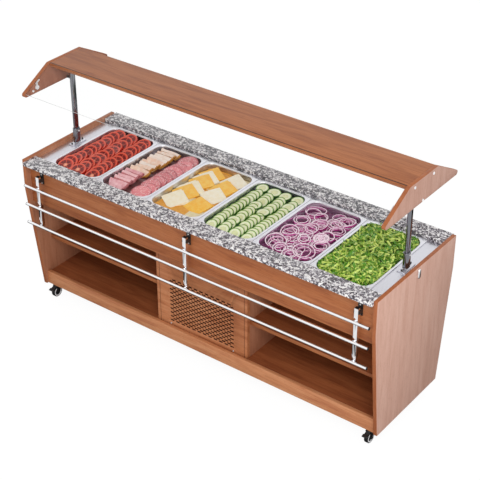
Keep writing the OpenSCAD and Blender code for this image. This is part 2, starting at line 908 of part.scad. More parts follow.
module caster_plates() {
    color(BLACK) in_place() both_ends() both_sides()
        translate([wheel_x, swivel_y, 0]) difference() {
            union() {
                slab([-plate_l / 2, plate_l / 2], [-plate_d / 2, plate_d / 2],
                    [plate_under_z, caster_h]);
                translate([0, 0, plate_under_z - race_h]) cylinder(d = race_d, h = race_h);
            }
            translate([0, 0, plate_under_z - race_h - 1])
                cylinder(d = king_pin_d + 2 * running_fit, h = race_h);
        }
}

// Places a piece of the right rear caster at another corner
module at_corner(side_x, side_y) {
    in_place() translate([side_x * wheel_x, side_y * swivel_y, 0])
        mirror([0, side_y < 0 ? 1 : 0, 0]) children();
}

module cheek_outline(braked) {
    eye_r = 9;
    polygon([
        [-14, crown_z + 1], [caster_trail - eye_r, wheel_r], [caster_trail + eye_r, wheel_r],
        [caster_trail + eye_r + 3, crown_z - 18], [caster_trail + 6, crown_z + 1]
    ]);
    translate([caster_trail, wheel_r]) circle(r = eye_r);
    if (braked) {
        translate([caster_trail + ear_out, ear_z]) circle(r = ear_r);
        translate([caster_trail - 4, ear_z - ear_r]) square([4 + ear_out, 2 * ear_r]);
    }
}

module fork(braked) {
    outer = fork_half_w + fork_t;
    for (x0 = [-outer, fork_half_w])
        along_x(x0, x0 + fork_t) union() cheek_outline(braked);
    translate([0, 0, crown_z]) linear_extrude(crown_t) union() {
        circle(d = race_d);
        translate([-outer, -14]) square([2 * outer, 14 + caster_trail - 6]);
    }
    translate([0, 0, crown_z + 1])
        cylinder(d = king_pin_d, h = crown_t - 1 + race_h - 1);
    rod_x(axle_d, -outer - 3, outer + 3, caster_trail, wheel_r);
    for (x0 = [-outer - 3, outer])
        rod_x(axle_d + 5, x0, x0 + 3, caster_trail, wheel_r);
    if (braked)
        rod_x(pedal_pin_d, -outer - 1, outer + 1, caster_trail + ear_out, ear_z);
}

module caster_fork(side_x, side_y, braked) {
    color(BLACK) at_corner(side_x, side_y) fork(braked);
}

module wheel_outline() {
    shoulder = 3;
    bore_r = axle_d / 2 + running_fit;
    dish = 3;
    difference() {
        union() {
            translate([bore_r, -wheel_w / 2])
                square([wheel_r - shoulder - bore_r, wheel_w]);
            translate([bore_r, -wheel_w / 2 + shoulder])
                square([wheel_r - bore_r, wheel_w - 2 * shoulder]);
            for (z = [-1, 1])
                translate([wheel_r - shoulder, z * (wheel_w / 2 - shoulder)]) circle(r = shoulder);
        }
        for (z = [-1, 1])
            translate([bore_r + 4, z > 0 ? wheel_w / 2 - dish : -wheel_w / 2])
                square([hub_d / 2 - 7 - bore_r, dish]);
    }
}

module caster_wheel(side_x, side_y) {
    color(BLACK) at_corner(side_x, side_y)
        translate([0, caster_trail, wheel_r]) rotate([0, 90, 0]) rotate_extrude() wheel_outline();
}

// A sleeve on the pin, a plate that slopes down, and a wide toe at its end
module brake_pedal(side_x) {
    plate = 3;
    toe_w = 30;
    toe_l = 16;
    sleeve_r = pedal_pin_d / 2 + 1.5;
    plate_low = -1;
    plate_start = sleeve_r - 1;
    half_w = fork_half_w - 0.5;
    color(BLACK) at_corner(side_x, -1) translate([0, caster_trail + ear_out, ear_z])
        difference() {
            union() {
                rod_x(2 * sleeve_r, -half_w, half_w, 0, 0);
                rotate([-pedal_slope, 0, 0]) {
                    slab([-half_w + 1, half_w - 1], [plate_start, pedal_l],
                        [plate_low, plate_low + plate]);
                    slab([-toe_w / 2, toe_w / 2], [pedal_l - toe_l, pedal_l],
                        [plate_low, plate_low + plate + 1]);
                }
            }
            rod_x(pedal_pin_d + 2 * running_fit, -toe_w, toe_w, 0, 0);
        }
}

// ---- Machine bay ----

module condenser() {
    half_w = condenser_w / 2;
    plate_t = 3;
    fin_pitch = 10;
    fin_t = 4;
    top_z = bottom_shelf_z + condenser_h;
    color(STAINLESS) in_place() {
        difference() {
            slab([-half_w, half_w], [condenser_y, condenser_back_y], [bottom_shelf_z, top_z]);
            for (x = [-half_w + plate_t : fin_pitch : half_w - plate_t - fin_t])
                slab([x, x + fin_t], [condenser_y - 1, condenser_back_y - 30],
                    [bottom_shelf_z + plate_t, top_z - plate_t]);
        }
        difference() {
            union() {
                slab([-half_w, half_w], [condenser_back_y, condenser_back_y + plate_t],
                    [bottom_shelf_z, top_z]);
                rod_y(fan_ring_d + 6, condenser_back_y, condenser_back_y + shroud_l, 0, fan_z);
            }
            rod_y(fan_ring_d, condenser_back_y + 0.01, condenser_back_y + shroud_l + 1, 0, fan_z);
        }
        translate([pipe_x, -coil_first_y, top_z - 5])
            cylinder(d = coil_d, h = pipe_joint_z - top_z + 5);
    }
}

module fan_motor() {
    foot_w = 90;
    foot_t = 4;
    web_y = motor_y + motor_l / 2;
    color(BLACK) in_place() {
        rod_y(motor_d, motor_y, motor_y + motor_l, 0, fan_z);
        rod_y(fan_shaft_d, fan_y - 6, motor_y, 0, fan_z);
        slab([-motor_d / 3, motor_d / 3], [web_y - foot_t, web_y + foot_t], [bottom_shelf_z, fan_z]);
        slab([-foot_w / 2, foot_w / 2], [web_y - 20, web_y + 20],
            [bottom_shelf_z, bottom_shelf_z + foot_t]);
    }
}

module fan_blades() {
    hub_d_fan = 52;
    blade_t = 2.5;
    blade_pitch = 32;
    color(STAINLESS) in_place() difference() {
        union() {
            rod_y(hub_d_fan, fan_y, fan_y + hub_l, 0, fan_z);
            intersection() {
                rod_y(fan_d, fan_y, fan_y + hub_l, 0, fan_z);
                translate([0, fan_y + hub_l / 2, fan_z]) for (i = [0 : fan_blades_n - 1])
                    rotate([0, i * 360 / fan_blades_n, 0]) rotate([0, 0, blade_pitch])
                        translate([-24, -blade_t / 2, hub_d_fan / 2 - 4])
                            cube([48, blade_t, fan_d / 2]);
            }
        }
        rod_y(fan_shaft_d + 2 * running_fit, fan_y - 1, fan_y + hub_l + 1, 0, fan_z);
    }
}

module compressor() {
    foot_h = 10;
    base_t = 5;
    shoulder_r = 40;
    body_z = bottom_shelf_z + foot_h + base_t;
    body_h = compressor_h - foot_h - base_t;
    r = compressor_d / 2;
    color(BLACK) in_place() translate([0, compressor_y, 0]) {
        translate([0, 0, body_z]) rotate_extrude() union() {
            square([r, body_h - shoulder_r]);
            square([r - shoulder_r, body_h]);
            intersection() {
                translate([r - shoulder_r, body_h - shoulder_r]) circle(r = shoulder_r);
                square([r, body_h]);
            }
        }
        slab([-r, r], [-r, r], [body_z - base_t, body_z]);
        for (x = [-1, 1], y = [-1, 1])
            translate([x * (r - 12), y * (r - 12), bottom_shelf_z]) cylinder(d = 20, h = foot_h);
        translate([pipe_x, coil_first_y - compressor_y, body_z + body_h / 2])
            cylinder(d = coil_d, h = pipe_joint_z - body_z - body_h / 2);
    }
}

// ---- Controls ----

module rocker_opening() {
    slab([rocker_x - rocker_w / 2 - 0.5, rocker_x + rocker_w / 2 + 0.5],
        [fascia_y - 12, fascia_y + control_t + 5],
        [control_z - rocker_h / 2 - 2, control_z + rocker_h / 2 + 2]);
}

module control_plate() {
    inlet_w = 48;
    inlet_h = 26;
    inlet_depth = 16;
    color(BLACK) in_place() difference() {
        union() {
            slab([-control_w / 2, control_w / 2], [fascia_y, fascia_y + control_t],
                [control_z - control_h / 2, control_z + control_h / 2]);
            slab([inlet_x - inlet_w / 2, inlet_x + inlet_w / 2],
                [fascia_y - inlet_depth, fascia_y + control_t + 2],
                [control_z - inlet_h / 2, control_z + inlet_h / 2]);
            slab([rocker_x - rocker_w / 2 - 3, rocker_x + rocker_w / 2 + 3],
                [fascia_y - 10, fascia_y + control_t + 2],
                [control_z - rocker_h / 2 - 5, control_z + rocker_h / 2 + 5]);
            rod_y(knob_shaft_d + 8, fascia_y - 12, fascia_y, knob_x, control_z);
        }
        difference() {
            slab([inlet_x - inlet_w / 2 + 3, inlet_x + inlet_w / 2 - 3],
                [fascia_y - inlet_depth + 2, fascia_y + control_t + 3],
                [control_z - inlet_h / 2 + 3, control_z + inlet_h / 2 - 3]);
            for (pin = [-12, 0, 12])
                slab([inlet_x + pin - 1, inlet_x + pin + 1],
                    [fascia_y - inlet_depth, fascia_y - 2], [control_z - 3, control_z + 3]);
        }
        rocker_opening();
        rod_y(knob_shaft_d + 2 * running_fit, fascia_y - 13, fascia_y + control_t + 1,
            knob_x, control_z);
    }
    // The rocker turns on a pin across its opening
    color(BLACK) in_place()
        rod_x(3, rocker_x - rocker_w / 2 - 1, rocker_x + rocker_w / 2 + 1,
            fascia_y + 1, control_z);
}

module thermostat_knob() {
    knob_y = fascia_y + control_t + face_gap;
    color(BLACK) in_place() difference() {
        union() {
            rod_y(knob_d, knob_y, knob_y + 5, knob_x, control_z);
            rod_y(knob_d - 8, knob_y + 5, knob_y + knob_t, knob_x, control_z);
            rod_y(knob_shaft_d, fascia_y - 12, knob_y + 1, knob_x, control_z);
        }
        slab([knob_x - 1, knob_x + 1], [knob_y + knob_t - 1.5, knob_y + knob_t + 1],
            [control_z, control_z + knob_d]);
    }
}

module rocker_switch() {
    half_h = rocker_h / 2;
    color(BLACK) in_place() difference() {
        translate([0, fascia_y + 1, control_z])
            along_x(rocker_x - rocker_w / 2, rocker_x + rocker_w / 2)
                rotate(-rocker_tilt) polygon([
                    [-5, -half_h + 3], [5, -half_h], [3.5, 0],
                    [5, half_h], [-5, half_h - 3]
                ]);
        rod_x(3 + 2 * running_fit, rocker_x - rocker_w, rocker_x + rocker_w,
            fascia_y + 1, control_z);
    }
}

// ---- Screws ----

module screws() {
    head_t = 3;
    gable_screw_d = 14;
    panel_screw_d = 8;
    socket_bolt_d = 9;
    flange_bolt_y = flange_l / 2 - 10;
    set_screw_z = deck_z + socket_h - 12;
    grille_screw_x = bay_half_w * 0.75;
    color(BLACK) in_place() {
        both_ends() {
            for (y = [-hood_edge_y * 2 / 3, hood_edge_y * 2 / 3])
                rod_x(gable_screw_d, gable_x, gable_x + head_t, y, hood_top_z - 19);
            rod_x(gable_screw_d, gable_x, gable_x + head_t, 0, spacer_z);
            for (y = [-flange_bolt_y, flange_bolt_y])
                translate([post_x, y, deck_z + flange_t]) cylinder(d = socket_bolt_d, h = 5);
            for (x0 = [post_x - socket_w / 2 - 6, post_x + socket_w / 2])
                rod_x(panel_screw_d, x0, x0 + 6, 0, set_screw_z);
            for (z = [bottom_shelf_z + 10, casing_under_z - 10])
                rod_y(panel_screw_d, -grille_y - 2, -grille_y, grille_screw_x, z);
            for (x = [bay_outer_w, inner_l - 20],
                z = [bottom_shelf_z + plinth_rise + 10, casing_under_z - 10])
                rod_y(panel_screw_d, shelf_y, shelf_y + 2, x, z);
            rod_y(panel_screw_d - 2, fascia_y + control_t, fascia_y + control_t + 2,
                control_w / 2 - 6, control_z);
        }
        for (x = arm_x, z = [-1, 1])
            rod_y(panel_screw_d - 1, -fascia_y - bracket_plate_t - 2, -fascia_y - bracket_plate_t,
                x, pivot_z + z * (bracket_h / 2 - 7));
    }
}

// ---- Pans and food ----

module at_pan(i) {
    in_place() translate([(i - (pan_count + 1) / 2) * pan_pitch, 0, 0]) children();
}

module pan(i) {
    color(STAINLESS) at_pan(i) difference() {
        union() {
            translate([0, 0, rim_top_z - pan_wall])
                linear_extrude(pan_wall) rounded_rect(pan_w, pan_l, pan_rim_r);
            translate([0, 0, deck_z]) linear_extrude(pan_rim_h) difference() {
                rounded_rect(pan_w, pan_l, pan_rim_r);
                rounded_rect(pan_w - 2 * pan_wall, pan_l - 2 * pan_wall, pan_rim_r - pan_wall);
            }
            translate([0, 0, bowl_under_z])
                linear_extrude(pan_depth) rounded_rect(bowl_w, bowl_l, bowl_r);
        }
        translate([0, 0, bowl_floor_z]) linear_extrude(pan_depth)
            rounded_rect(bowl_w - 2 * pan_wall, bowl_l - 2 * pan_wall, bowl_r - pan_wall);
    }
}

module food_bed(h) {
    translate([0, 0, food_z]) linear_extrude(h) rounded_rect(food_w, food_l, food_r);
}

// A slice lying askew on the bed, sunk in it at its lower edge
module slice(x, y, d, t, tilt) {
    translate([x, y, food_top_z + d / 2 * sin(tilt) - t]) rotate([tilt, 0, 0])
        cylinder(d = d, h = t);
}

module tomato_slices() {
    rows = 3;
    per_row = 12;
    end_gap = 4;
    row_pitch = food_w / (rows + 0.5);
    row_l = food_l - tomato_d - 2 * end_gap;
    color("#c63a26") at_pan(1) {
        food_bed(food_bed_h);
        for (row = [0 : rows - 1], i = [0 : per_row - 1])
            slice((row - (rows - 1) / 2) * row_pitch, (i / (per_row - 1) - 0.5) * row_l,
                tomato_d, 6, 20);
    }
}

// Rolled slices in the left column, round ones in the right
module sliced_meats() {
    per_row = 7;
    end_gap = 6;
    row_l = food_l - salami_d - 2 * end_gap;
    fold_r = 22;
    fold_l = 115;
    fold_x = -food_w / 2 + 12;
    folds_l = food_l - 4 * fold_r;
    color("#c98273") at_pan(2) {
        food_bed(food_bed_h);
        for (i = [0 : per_row - 1]) {
            slice(food_w / 4, (i / (per_row - 1) - 0.5) * row_l, salami_d, 4, 12);
            rod_x(2 * fold_r, fold_x, fold_x + fold_l,
                (i / (per_row - 1) - 0.5) * folds_l, food_top_z - fold_r / 3);
        }
    }
}

// Two columns of tilted stacks, the stacks of one column turned by turns
module cheese_squares() {
    stack_t = 8;
    columns = 2;
    per_row = 5;
    tilt = 8;
    side_gap = 26;
    end_gap = 22;
    column_pitch = food_w - cheese_w - 2 * side_gap;
    row_l = food_l - cheese_w - 2 * end_gap;
    color("#e9b15a") at_pan(3) {
        food_bed(food_bed_h);
        for (column = [0 : columns - 1], i = [0 : per_row - 1])
            translate([(column - (columns - 1) / 2) * column_pitch,
                (i / (per_row - 1) - 0.5) * row_l,
                food_top_z + cheese_w / 2 * sin(tilt) - stack_t / 2])
                rotate([tilt, 0, (i + column) % 2 == 0 ? 0 : 12])
                    translate([-cheese_w / 2, -cheese_w / 2, 0])
                        cube([cheese_w, cheese_w, stack_t]);
    }
}

module cucumber_slices() {
    rows = 4;
    per_row = 14;
    end_gap = 30;
    row_pitch = (food_w - cucumber_d) / (rows - 1 + 0.3);
    row_l = food_l - cucumber_d - 2 * end_gap;
    color("#a9bd6b") at_pan(4) {
        food_bed(food_bed_h);
        for (row = [0 : rows - 1], i = [0 : per_row - 1])
            slice((row - (rows - 1) / 2) * row_pitch, (i / (per_row - 1) - 0.5) * row_l,
                cucumber_d, 5, 22);
    }
}

// Rings of two sizes and three heights, side by side on the bed
module onion_rings() {
    ring_t = 10;
    ring_step = 4;
    wall = 5;
    cols = 3;
    rows = 5;
    smaller = 20;
    side_gap = 12;
    end_gap = 30;
    cols_w = food_w - onion_d - 2 * side_gap;
    rows_l = food_l - onion_d - 2 * end_gap;
    color("#b0577f") at_pan(5) {
        food_bed(food_bed_h);
        for (i = [0 : cols - 1], j = [0 : rows - 1]) {
            d = onion_d - ((i + j) % 2) * smaller;
            translate([(i / (cols - 1) - 0.5) * cols_w, (j / (rows - 1) - 0.5) * rows_l,
                food_top_z - 1])
                difference() {
                    cylinder(d = d, h = ring_t + ((i + 2 * j) % 3) * ring_step);
                    translate([0, 0, 2]) cylinder(d = d - 2 * wall, h = 3 * ring_t);
                }
        }
    }
}

// A flat heap whose edges fall off round to the pan's walls
module shredded_lettuce() {
    heap_r = 120;
    edge = 36;
    rise = 16;
    color("#8fae3e") at_pan(6) {
        food_bed(food_bed_h + rise);
        hull() {
            translate([0, 0, food_top_z + rise - 1]) linear_extrude(1)
                rounded_rect(food_w, food_l, food_r, $fn = 32);
            for (y = [-food_l / 4, food_l / 4])
                translate([0, y, food_top_z + lettuce_h - heap_r])
                    intersection() {
                        sphere(r = heap_r, $fn = 32);
                        translate([-heap_r, -heap_r, heap_r - lettuce_h + rise])
                            cube([2 * heap_r, 2 * heap_r, edge + lettuce_h]);
                    }
        }
    }
}

// ---- Nodes ----

side_panel_left();
side_panel_right();
front_fascia();
rear_fascia();
granite_front();
granite_rear();
well_deck();
well_tank();
tank_casing();
pan_bars();
cooling_coil();
drain_pipe();
bottom_shelf();
plinth_boards();
mid_shelves();
partitions();
grille_panel();
rear_panel();
screws();
compressor();
condenser();
fan_motor();
fan_blades();
control_plate();
thermostat_knob();
rocker_switch();
posts();
post_sockets();
hood_board();
gable_left();
gable_right();
glass_guards();
glass_clips();
tray_brackets();
tray_arms();
tray_rails();
tray_caps();
caster_plates();
caster_fork(-1, -1, true);  // caster_fork_front_left
caster_fork(1, -1, true);  // caster_fork_front_right
caster_fork(-1, 1, false);  // caster_fork_rear_left
caster_fork(1, 1, false);  // caster_fork_rear_right
caster_wheel(-1, -1);  // caster_wheel_front_left
caster_wheel(1, -1);  // caster_wheel_front_right
caster_wheel(-1, 1);  // caster_wheel_rear_left
caster_wheel(1, 1);  // caster_wheel_rear_right
brake_pedal(-1);  // brake_pedal_left
brake_pedal(1);  // brake_pedal_right
pan(1);  // pan_1
pan(2);  // pan_2
pan(3);  // pan_3
pan(4);  // pan_4
pan(5);  // pan_5
pan(6);  // pan_6
tomato_slices();
sliced_meats();
cheese_squares();
cucumber_slices();
onion_rings();
shredded_lettuce();
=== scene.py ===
"""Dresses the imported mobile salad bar: boards, granite, cold well, pans, food, hood, slide."""
import json
import logging
import math
import random
from dataclasses import dataclass
from enum import Enum
from typing import Any, Callable, Iterable, Optional, Sequence

import bmesh
import bpy
from mathutils import Matrix, Vector, noise


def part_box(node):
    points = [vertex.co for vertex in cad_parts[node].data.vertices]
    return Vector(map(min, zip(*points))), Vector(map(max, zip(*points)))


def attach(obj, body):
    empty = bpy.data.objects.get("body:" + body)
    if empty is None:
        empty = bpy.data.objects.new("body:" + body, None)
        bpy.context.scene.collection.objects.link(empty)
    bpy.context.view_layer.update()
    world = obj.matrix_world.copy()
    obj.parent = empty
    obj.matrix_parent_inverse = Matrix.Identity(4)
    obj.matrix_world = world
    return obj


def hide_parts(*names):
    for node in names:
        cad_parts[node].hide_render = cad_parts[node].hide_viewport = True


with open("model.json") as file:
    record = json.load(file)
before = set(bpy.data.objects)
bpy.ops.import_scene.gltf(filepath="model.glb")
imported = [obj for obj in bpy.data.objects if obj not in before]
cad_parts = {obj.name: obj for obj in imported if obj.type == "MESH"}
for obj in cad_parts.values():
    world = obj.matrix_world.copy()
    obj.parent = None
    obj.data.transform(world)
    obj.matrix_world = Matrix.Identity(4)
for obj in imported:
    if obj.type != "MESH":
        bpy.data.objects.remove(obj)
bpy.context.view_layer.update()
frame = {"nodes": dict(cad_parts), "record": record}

LOG = logging.getLogger("salad_bar")
MM = 0.001
CABINET_Y = (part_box("hood_board")[0].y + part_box("hood_board")[1].y) / 2

Mesh = bmesh.types.BMesh
Vert = bmesh.types.BMVert
Edge = bmesh.types.BMEdge
Face = bmesh.types.BMFace
Node = bpy.types.Node
Tree = bpy.types.NodeTree
Colour = tuple[float, float, float, float]
Points = Sequence[tuple[float, float]]


class Axis(Enum):
    """An axis of the bar's own frame."""

    X = 0
    Y = 1
    Z = 2

    def unit(self) -> Vector:
        """Returns the axis as a unit vector."""
        return Vector([1.0 if i == self.value else 0.0 for i in range(3)])


def linear(code: str) -> Colour:
    """Turns an sRGB hex colour to linear values.

    Args:
        code: The colour, such as "#a0603a".

    Returns:
        Red, green, blue and an alpha of 1.
    """
    parts = [int(code[i:i + 2], 16) / 255 for i in (1, 3, 5)]
    r, g, b = (p / 12.92 if p <= 0.04045 else ((p + 0.055) / 1.055) ** 2.4 for p in parts)
    return r, g, b, 1.0


def feed(tree: Tree, node: Node, inputs: dict[Any, Any]) -> None:
    """Gives a node's inputs their values.

    Args:
        tree: The node's tree.
        node: The node.
        inputs: By name or number: a number, a tuple, a socket, or a node for its first output.
    """
    for key, value in inputs.items():
        if isinstance(value, (int, float, tuple)):
            node.inputs[key].default_value = value
        else:
            socket = value.outputs[0] if isinstance(value, Node) else value
            tree.links.new(socket, node.inputs[key])


def add_node(tree: Tree, kind: str, settings: Optional[dict[str, Any]] = None,
             inputs: Optional[dict[Any, Any]] = None) -> Node:
    """Adds a node with its settings and inputs.

    Args:
        tree: The node tree that gets the node.
        kind: The node's type name, without the part that all share.
        settings: Values by attribute name; "stops" fills a ramp.
        inputs: Its inputs' values, as feed takes them.

    Returns:
        The new node.
    """
    node = tree.nodes.new("ShaderNode" + kind)
    for key, value in (settings or {}).items():
        if key == "stops":
            stops = node.color_ramp.elements
            for element, (place, colour) in zip((stops[0], stops[-1]), (value[0], value[-1])):
                element.position, element.color = place, colour
            for place, colour in value[1:-1]:
                stops.new(place).color = colour
        else:
            setattr(node, key, value)
    feed(tree, node, inputs or {})
    return node


def maths(tree: Tree, operation: str, *terms: Any) -> Any:
    """Returns a socket with the result of a calculation on numbers and sockets."""
    return add_node(tree, "Math", {"operation": operation}, dict(enumerate(terms))).outputs[0]


def vector_maths(tree: Tree, operation: str, *terms: Any) -> Node:
    """Returns a node with the result of a calculation on vectors and sockets."""
    return add_node(tree, "VectorMath", {"operation": operation}, dict(enumerate(terms)))


def clouds(tree: Tree, place: Any, scale: float, detail: float = 2.0,
           roughness: float = 0.5, distortion: float = 0.0, output: str = "Fac") -> Any:
    """Returns a socket with a noise pattern over some coordinates."""
    return add_node(tree, "TexNoise", {}, {
        "Vector": place, "Scale": scale, "Detail": detail, "Roughness": roughness,
        "Distortion": distortion}).outputs[output]


def ranged(tree: Tree, value: Any, start: float, end: float, low: float = 0.0,
           high: float = 1.0, kind: str = "LINEAR") -> Any:
    """Returns a socket that goes from low to high while a value goes from start to end."""
    places = {"Value": value, "From Min": start, "From Max": end, "To Min": low, "To Max": high}
    return add_node(tree, "MapRange", {"interpolation_type": kind}, places).outputs[0]


def ramp(tree: Tree, value: Any, *stops: tuple[float, Any]) -> Any:
    """Returns a socket with a value's colour among stops, each an sRGB code or linear values."""
    linears = [(at, linear(c) if isinstance(c, str) else c) for at, c in stops]
    return add_node(tree, "ValToRGB", {"stops": linears}, {"Fac": value}).outputs[0]


def blended(tree: Tree, share: Any, first: Any, second: Any, kind: str = "MIX") -> Any:
    """Returns a socket with two colours blended by a share."""
    return add_node(tree, "Mix", {"data_type": "RGBA", "blend_type": kind},
                    {0: share, 6: first, 7: second}).outputs[2]


# ---- Finishes ----


@dataclass(frozen=True)
class Finish:
    """A finish: its name and the values of its shader."""

    name: str
    base: str = "#808080"
    roughness: float = 0.5
    metallic: float = 0.0

    def material(self) -> bpy.types.Material:
        """Returns the finish's material, made the first time."""
        found = bpy.data.materials.get(self.name)
        if found:
            return found
        made = bpy.data.materials.new(self.name)
        made.use_nodes = True
        shader = made.node_tree.nodes["Principled BSDF"]
        feed(made.node_tree, shader, {"Base Color": linear(self.base),
                                      "Roughness": self.roughness, "Metallic": self.metallic})
        made.diffuse_color = linear(self.base)
        self.shade(made.node_tree, shader)
        return made

    def shade(self, tree: Tree, shader: Node) -> None:
        """Adds the finish's own pattern to its shader.

        Args:
            tree: The material's node tree.
            shader: Its Principled shader.
        """
        raise NotImplementedError

    def stretched(self, tree: Tree, per_metre: Sequence[float] = (1, 1, 1)) -> Node:
        """Returns Object coordinates scaled by so many units a metre on each axis."""
        place = add_node(tree, "TexCoord").outputs["Object"]
        return add_node(tree, "Mapping", {}, {"Scale": tuple(per_metre), "Vector": place})

    def bump(self, tree: Tree, shader: Node, height: Any, depth: float,
             strength: float) -> None:
        """Feeds a height pattern to the shader's normal, with its depth in metres."""
        feed(tree, shader, {"Normal": add_node(tree, "Bump", {}, {
            "Strength": strength, "Distance": depth, "Height": height})})


@dataclass(frozen=True)
class CherryLaminate(Finish):
    """Cherry-coloured melamine board: printed grain under a satin overlay, so it has soft dark
    and light bands, fine streaks along the grain and a faint gloss."""

    dark: str = "#96552f"
    light: str = "#b26e42"
    grain: Axis = Axis.X
    contrast: float = 1.0
    coat: float = 0.1

    def along(self, fine: float, across: float) -> tuple[float, ...]:
        """Returns scales with the fine value along the grain and the other across it."""
        return tuple(fine if i == self.grain.value else across for i in range(3))

    def shade(self, tree: Tree, shader: Node) -> None:
        """Adds faint grain bands 35 mm wide, streaks 5 mm wide and pores 1.5 mm wide."""
        bands = clouds(tree, self.stretched(tree, self.along(2.5, 28)), 1.0, 3.0, 0.55, 0.9)
        streaks = clouds(tree, self.stretched(tree, self.along(9, 190)), 1.0, 4.0, 0.6, 0.4)
        pores = clouds(tree, self.stretched(tree, self.along(45, 650)), 1.0, 1.0)
        half = 0.17 / self.contrast
        colour = ramp(tree, ranged(tree, bands, 0.5 - half, 0.5 + half),
                      (0.0, self.dark), (0.45, self.base), (1.0, self.light))
        lines = ramp(tree, streaks, (0.30, (0.74, 0.62, 0.54, 1)), (0.48, (1, 1, 1, 1)),
                     (0.75, (1.06, 1.06, 1.06, 1)))
        streaked = blended(tree, 0.8 * self.contrast, colour, lines, "MULTIPLY")
        dots = ramp(tree, pores, (0.30, (0.72, 0.66, 0.62, 1)), (0.40, (1, 1, 1, 1)))
        feed(tree, shader, {"Base Color": blended(tree, 0.6, streaked, dots, "MULTIPLY"),
                            "Coat Weight": self.coat, "Coat Roughness": 0.35,
                            "Specular IOR Level": 0.3})
        self.bump(tree, shader, pores, 0.2 * MM, 0.3)


@dataclass(frozen=True)
class SpeckledGranite(Finish):
    """Polished speckled granite: interlocked crystals of 5 to 12 mm, white, grey and a dark
    purple grey, with a glassy polish over all of them."""

    grain: float = 9.5 * MM
    shift: float = -0.27

    def shade(self, tree: Tree, shader: Node) -> None:
        """Adds warped crystal cells in two sizes."""
        place = add_node(tree, "TexCoord").outputs["Object"]
        warp = clouds(tree, place, 0.8 / self.grain, 3.0, output="Color")
        centred = vector_maths(tree, "SUBTRACT", warp, (0.5, 0.5, 0.5))
        pushed = vector_maths(tree, "MULTIPLY_ADD", centred, (self.grain * 1.6,) * 3, place)
        large, small = (add_node(tree, "SeparateColor", {}, {0: add_node(
            tree, "TexVoronoi", {}, {"Scale": 1 / size, "Vector": pushed}).outputs["Color"]})
            for size in (self.grain, self.grain * 0.55))
        both = maths(tree, "MULTIPLY_ADD", small.outputs[1], 0.38,
                     maths(tree, "MULTIPLY", large.outputs[0], 0.62))
        cloud = clouds(tree, place, 0.28 / self.grain)
        total = maths(tree, "ADD", both, maths(tree, "MULTIPLY_ADD", cloud, 0.55, self.shift))
        colour = ramp(tree, total, (0.28, "#39333a"), (0.38, "#6a636b"), (0.47, "#938d95"),
                      (0.56, "#bdb9bf"), (0.68, "#f6f4f3"))
        feed(tree, shader, {"Base Color": colour, "Coat Weight": 0.3, "Coat Roughness": 0.12})


@dataclass(frozen=True)
class BrushedStainless(Finish):
    """Stainless steel sheet, brushed along its length: a soft, slightly streaky mirror."""

    grain: Axis = Axis.X
    metallic: float = 1.0

    def shade(self, tree: Tree, shader: Node) -> None:
        """Adds brush lines, drawn 2 mm wide so that they show, and cloudy smudges."""
        scales = [3.0 if i == self.grain.value else 480.0 for i in range(3)]
        lines = clouds(tree, self.stretched(tree, scales), 1.0, 3.0)
        smudges = clouds(tree, self.stretched(tree), 9.0, 3.0)
        rough = maths(tree, "MULTIPLY_ADD", lines, 0.14, self.roughness - 0.07)
        feed(tree, shader, {"Roughness": maths(tree, "MULTIPLY_ADD", smudges, 0.10, rough)})
        self.bump(tree, shader, lines, 0.15 * MM, 0.25)


@dataclass(frozen=True)
class PolishedChrome(Finish):
    """Chrome plate on steel: a bright mirror with faint wiping marks."""

    metallic: float = 1.0

    def shade(self, tree: Tree, shader: Node) -> None:
        """Adds faint smudges to the gloss."""
        smudges = clouds(tree, self.stretched(tree), 40.0, 3.0)
        rough = maths(tree, "MULTIPLY_ADD", smudges, 0.08, self.roughness - 0.03)
        feed(tree, shader, {"Roughness": rough})


@dataclass(frozen=True)
class GlazedPane(Finish):
    """Float glass: clear and glossy on its faces, pale and matt where its edge is ground."""

    alpha: float = 0.02

    def shade(self, tree: Tree, shader: Node) -> None:
        """Adds a slight unevenness of the surface and the glass's clearness."""
        waves = clouds(tree, self.stretched(tree), 6.0, 1.0)
        feed(tree, shader, {"Roughness": maths(tree, "MULTIPLY_ADD", waves, 0.02, self.roughness),
                            "Alpha": self.alpha, "IOR": 1.5})


@dataclass(frozen=True)
class MouldedPlastic(Finish):
    """Moulded plastic: even colour with the fine leathery grain of its mould."""

    grain: float = 1.2 * MM
    depth: float = 0.06 * MM

    def shade(self, tree: Tree, shader: Node) -> None:
        """Adds the mould's grain and slight differences in colour."""
        place = self.stretched(tree)
        base = linear(self.base)
        dusty = tuple(min(1.0, c * 1.25 + 0.004) for c in base[:3]) + (1.0,)
        wear = ramp(tree, clouds(tree, place, 25.0, 4.0), (0.40, base), (0.75, dusty))
        feed(tree, shader, {"Base Color": wear})
        self.bump(tree, shader, clouds(tree, place, 1 / self.grain), self.depth, 0.6)


@dataclass(frozen=True)
class CastMetal(Finish):
    """Zinc-plated, painted or bare machine metal: cloudy tone and an uneven dull gloss."""

    spread: float = 0.22
    grain: float = 6 * MM

    def shade(self, tree: Tree, shader: Node) -> None:
        """Adds clouds of tone and of gloss, and a slight orange-peel."""
        place = self.stretched(tree)
        cloud = clouds(tree, place, 0.4 / self.grain, 5.0, 0.6)
        base = linear(self.base)
        low, high = (tuple(min(1.0, c * k) for c in base[:3]) + (1.0,)
                     for k in (1 - self.spread, 1 + self.spread))
        rough = ranged(tree, cloud, 0.0, 1.0, self.roughness - 0.08, self.roughness + 0.1)
        feed(tree, shader, {"Base Color": ramp(tree, cloud, (0.3, low), (0.7, high)),
                            "Roughness": rough})
        self.bump(tree, shader, clouds(tree, place, 1 / self.grain), 0.2 * MM, 0.2)


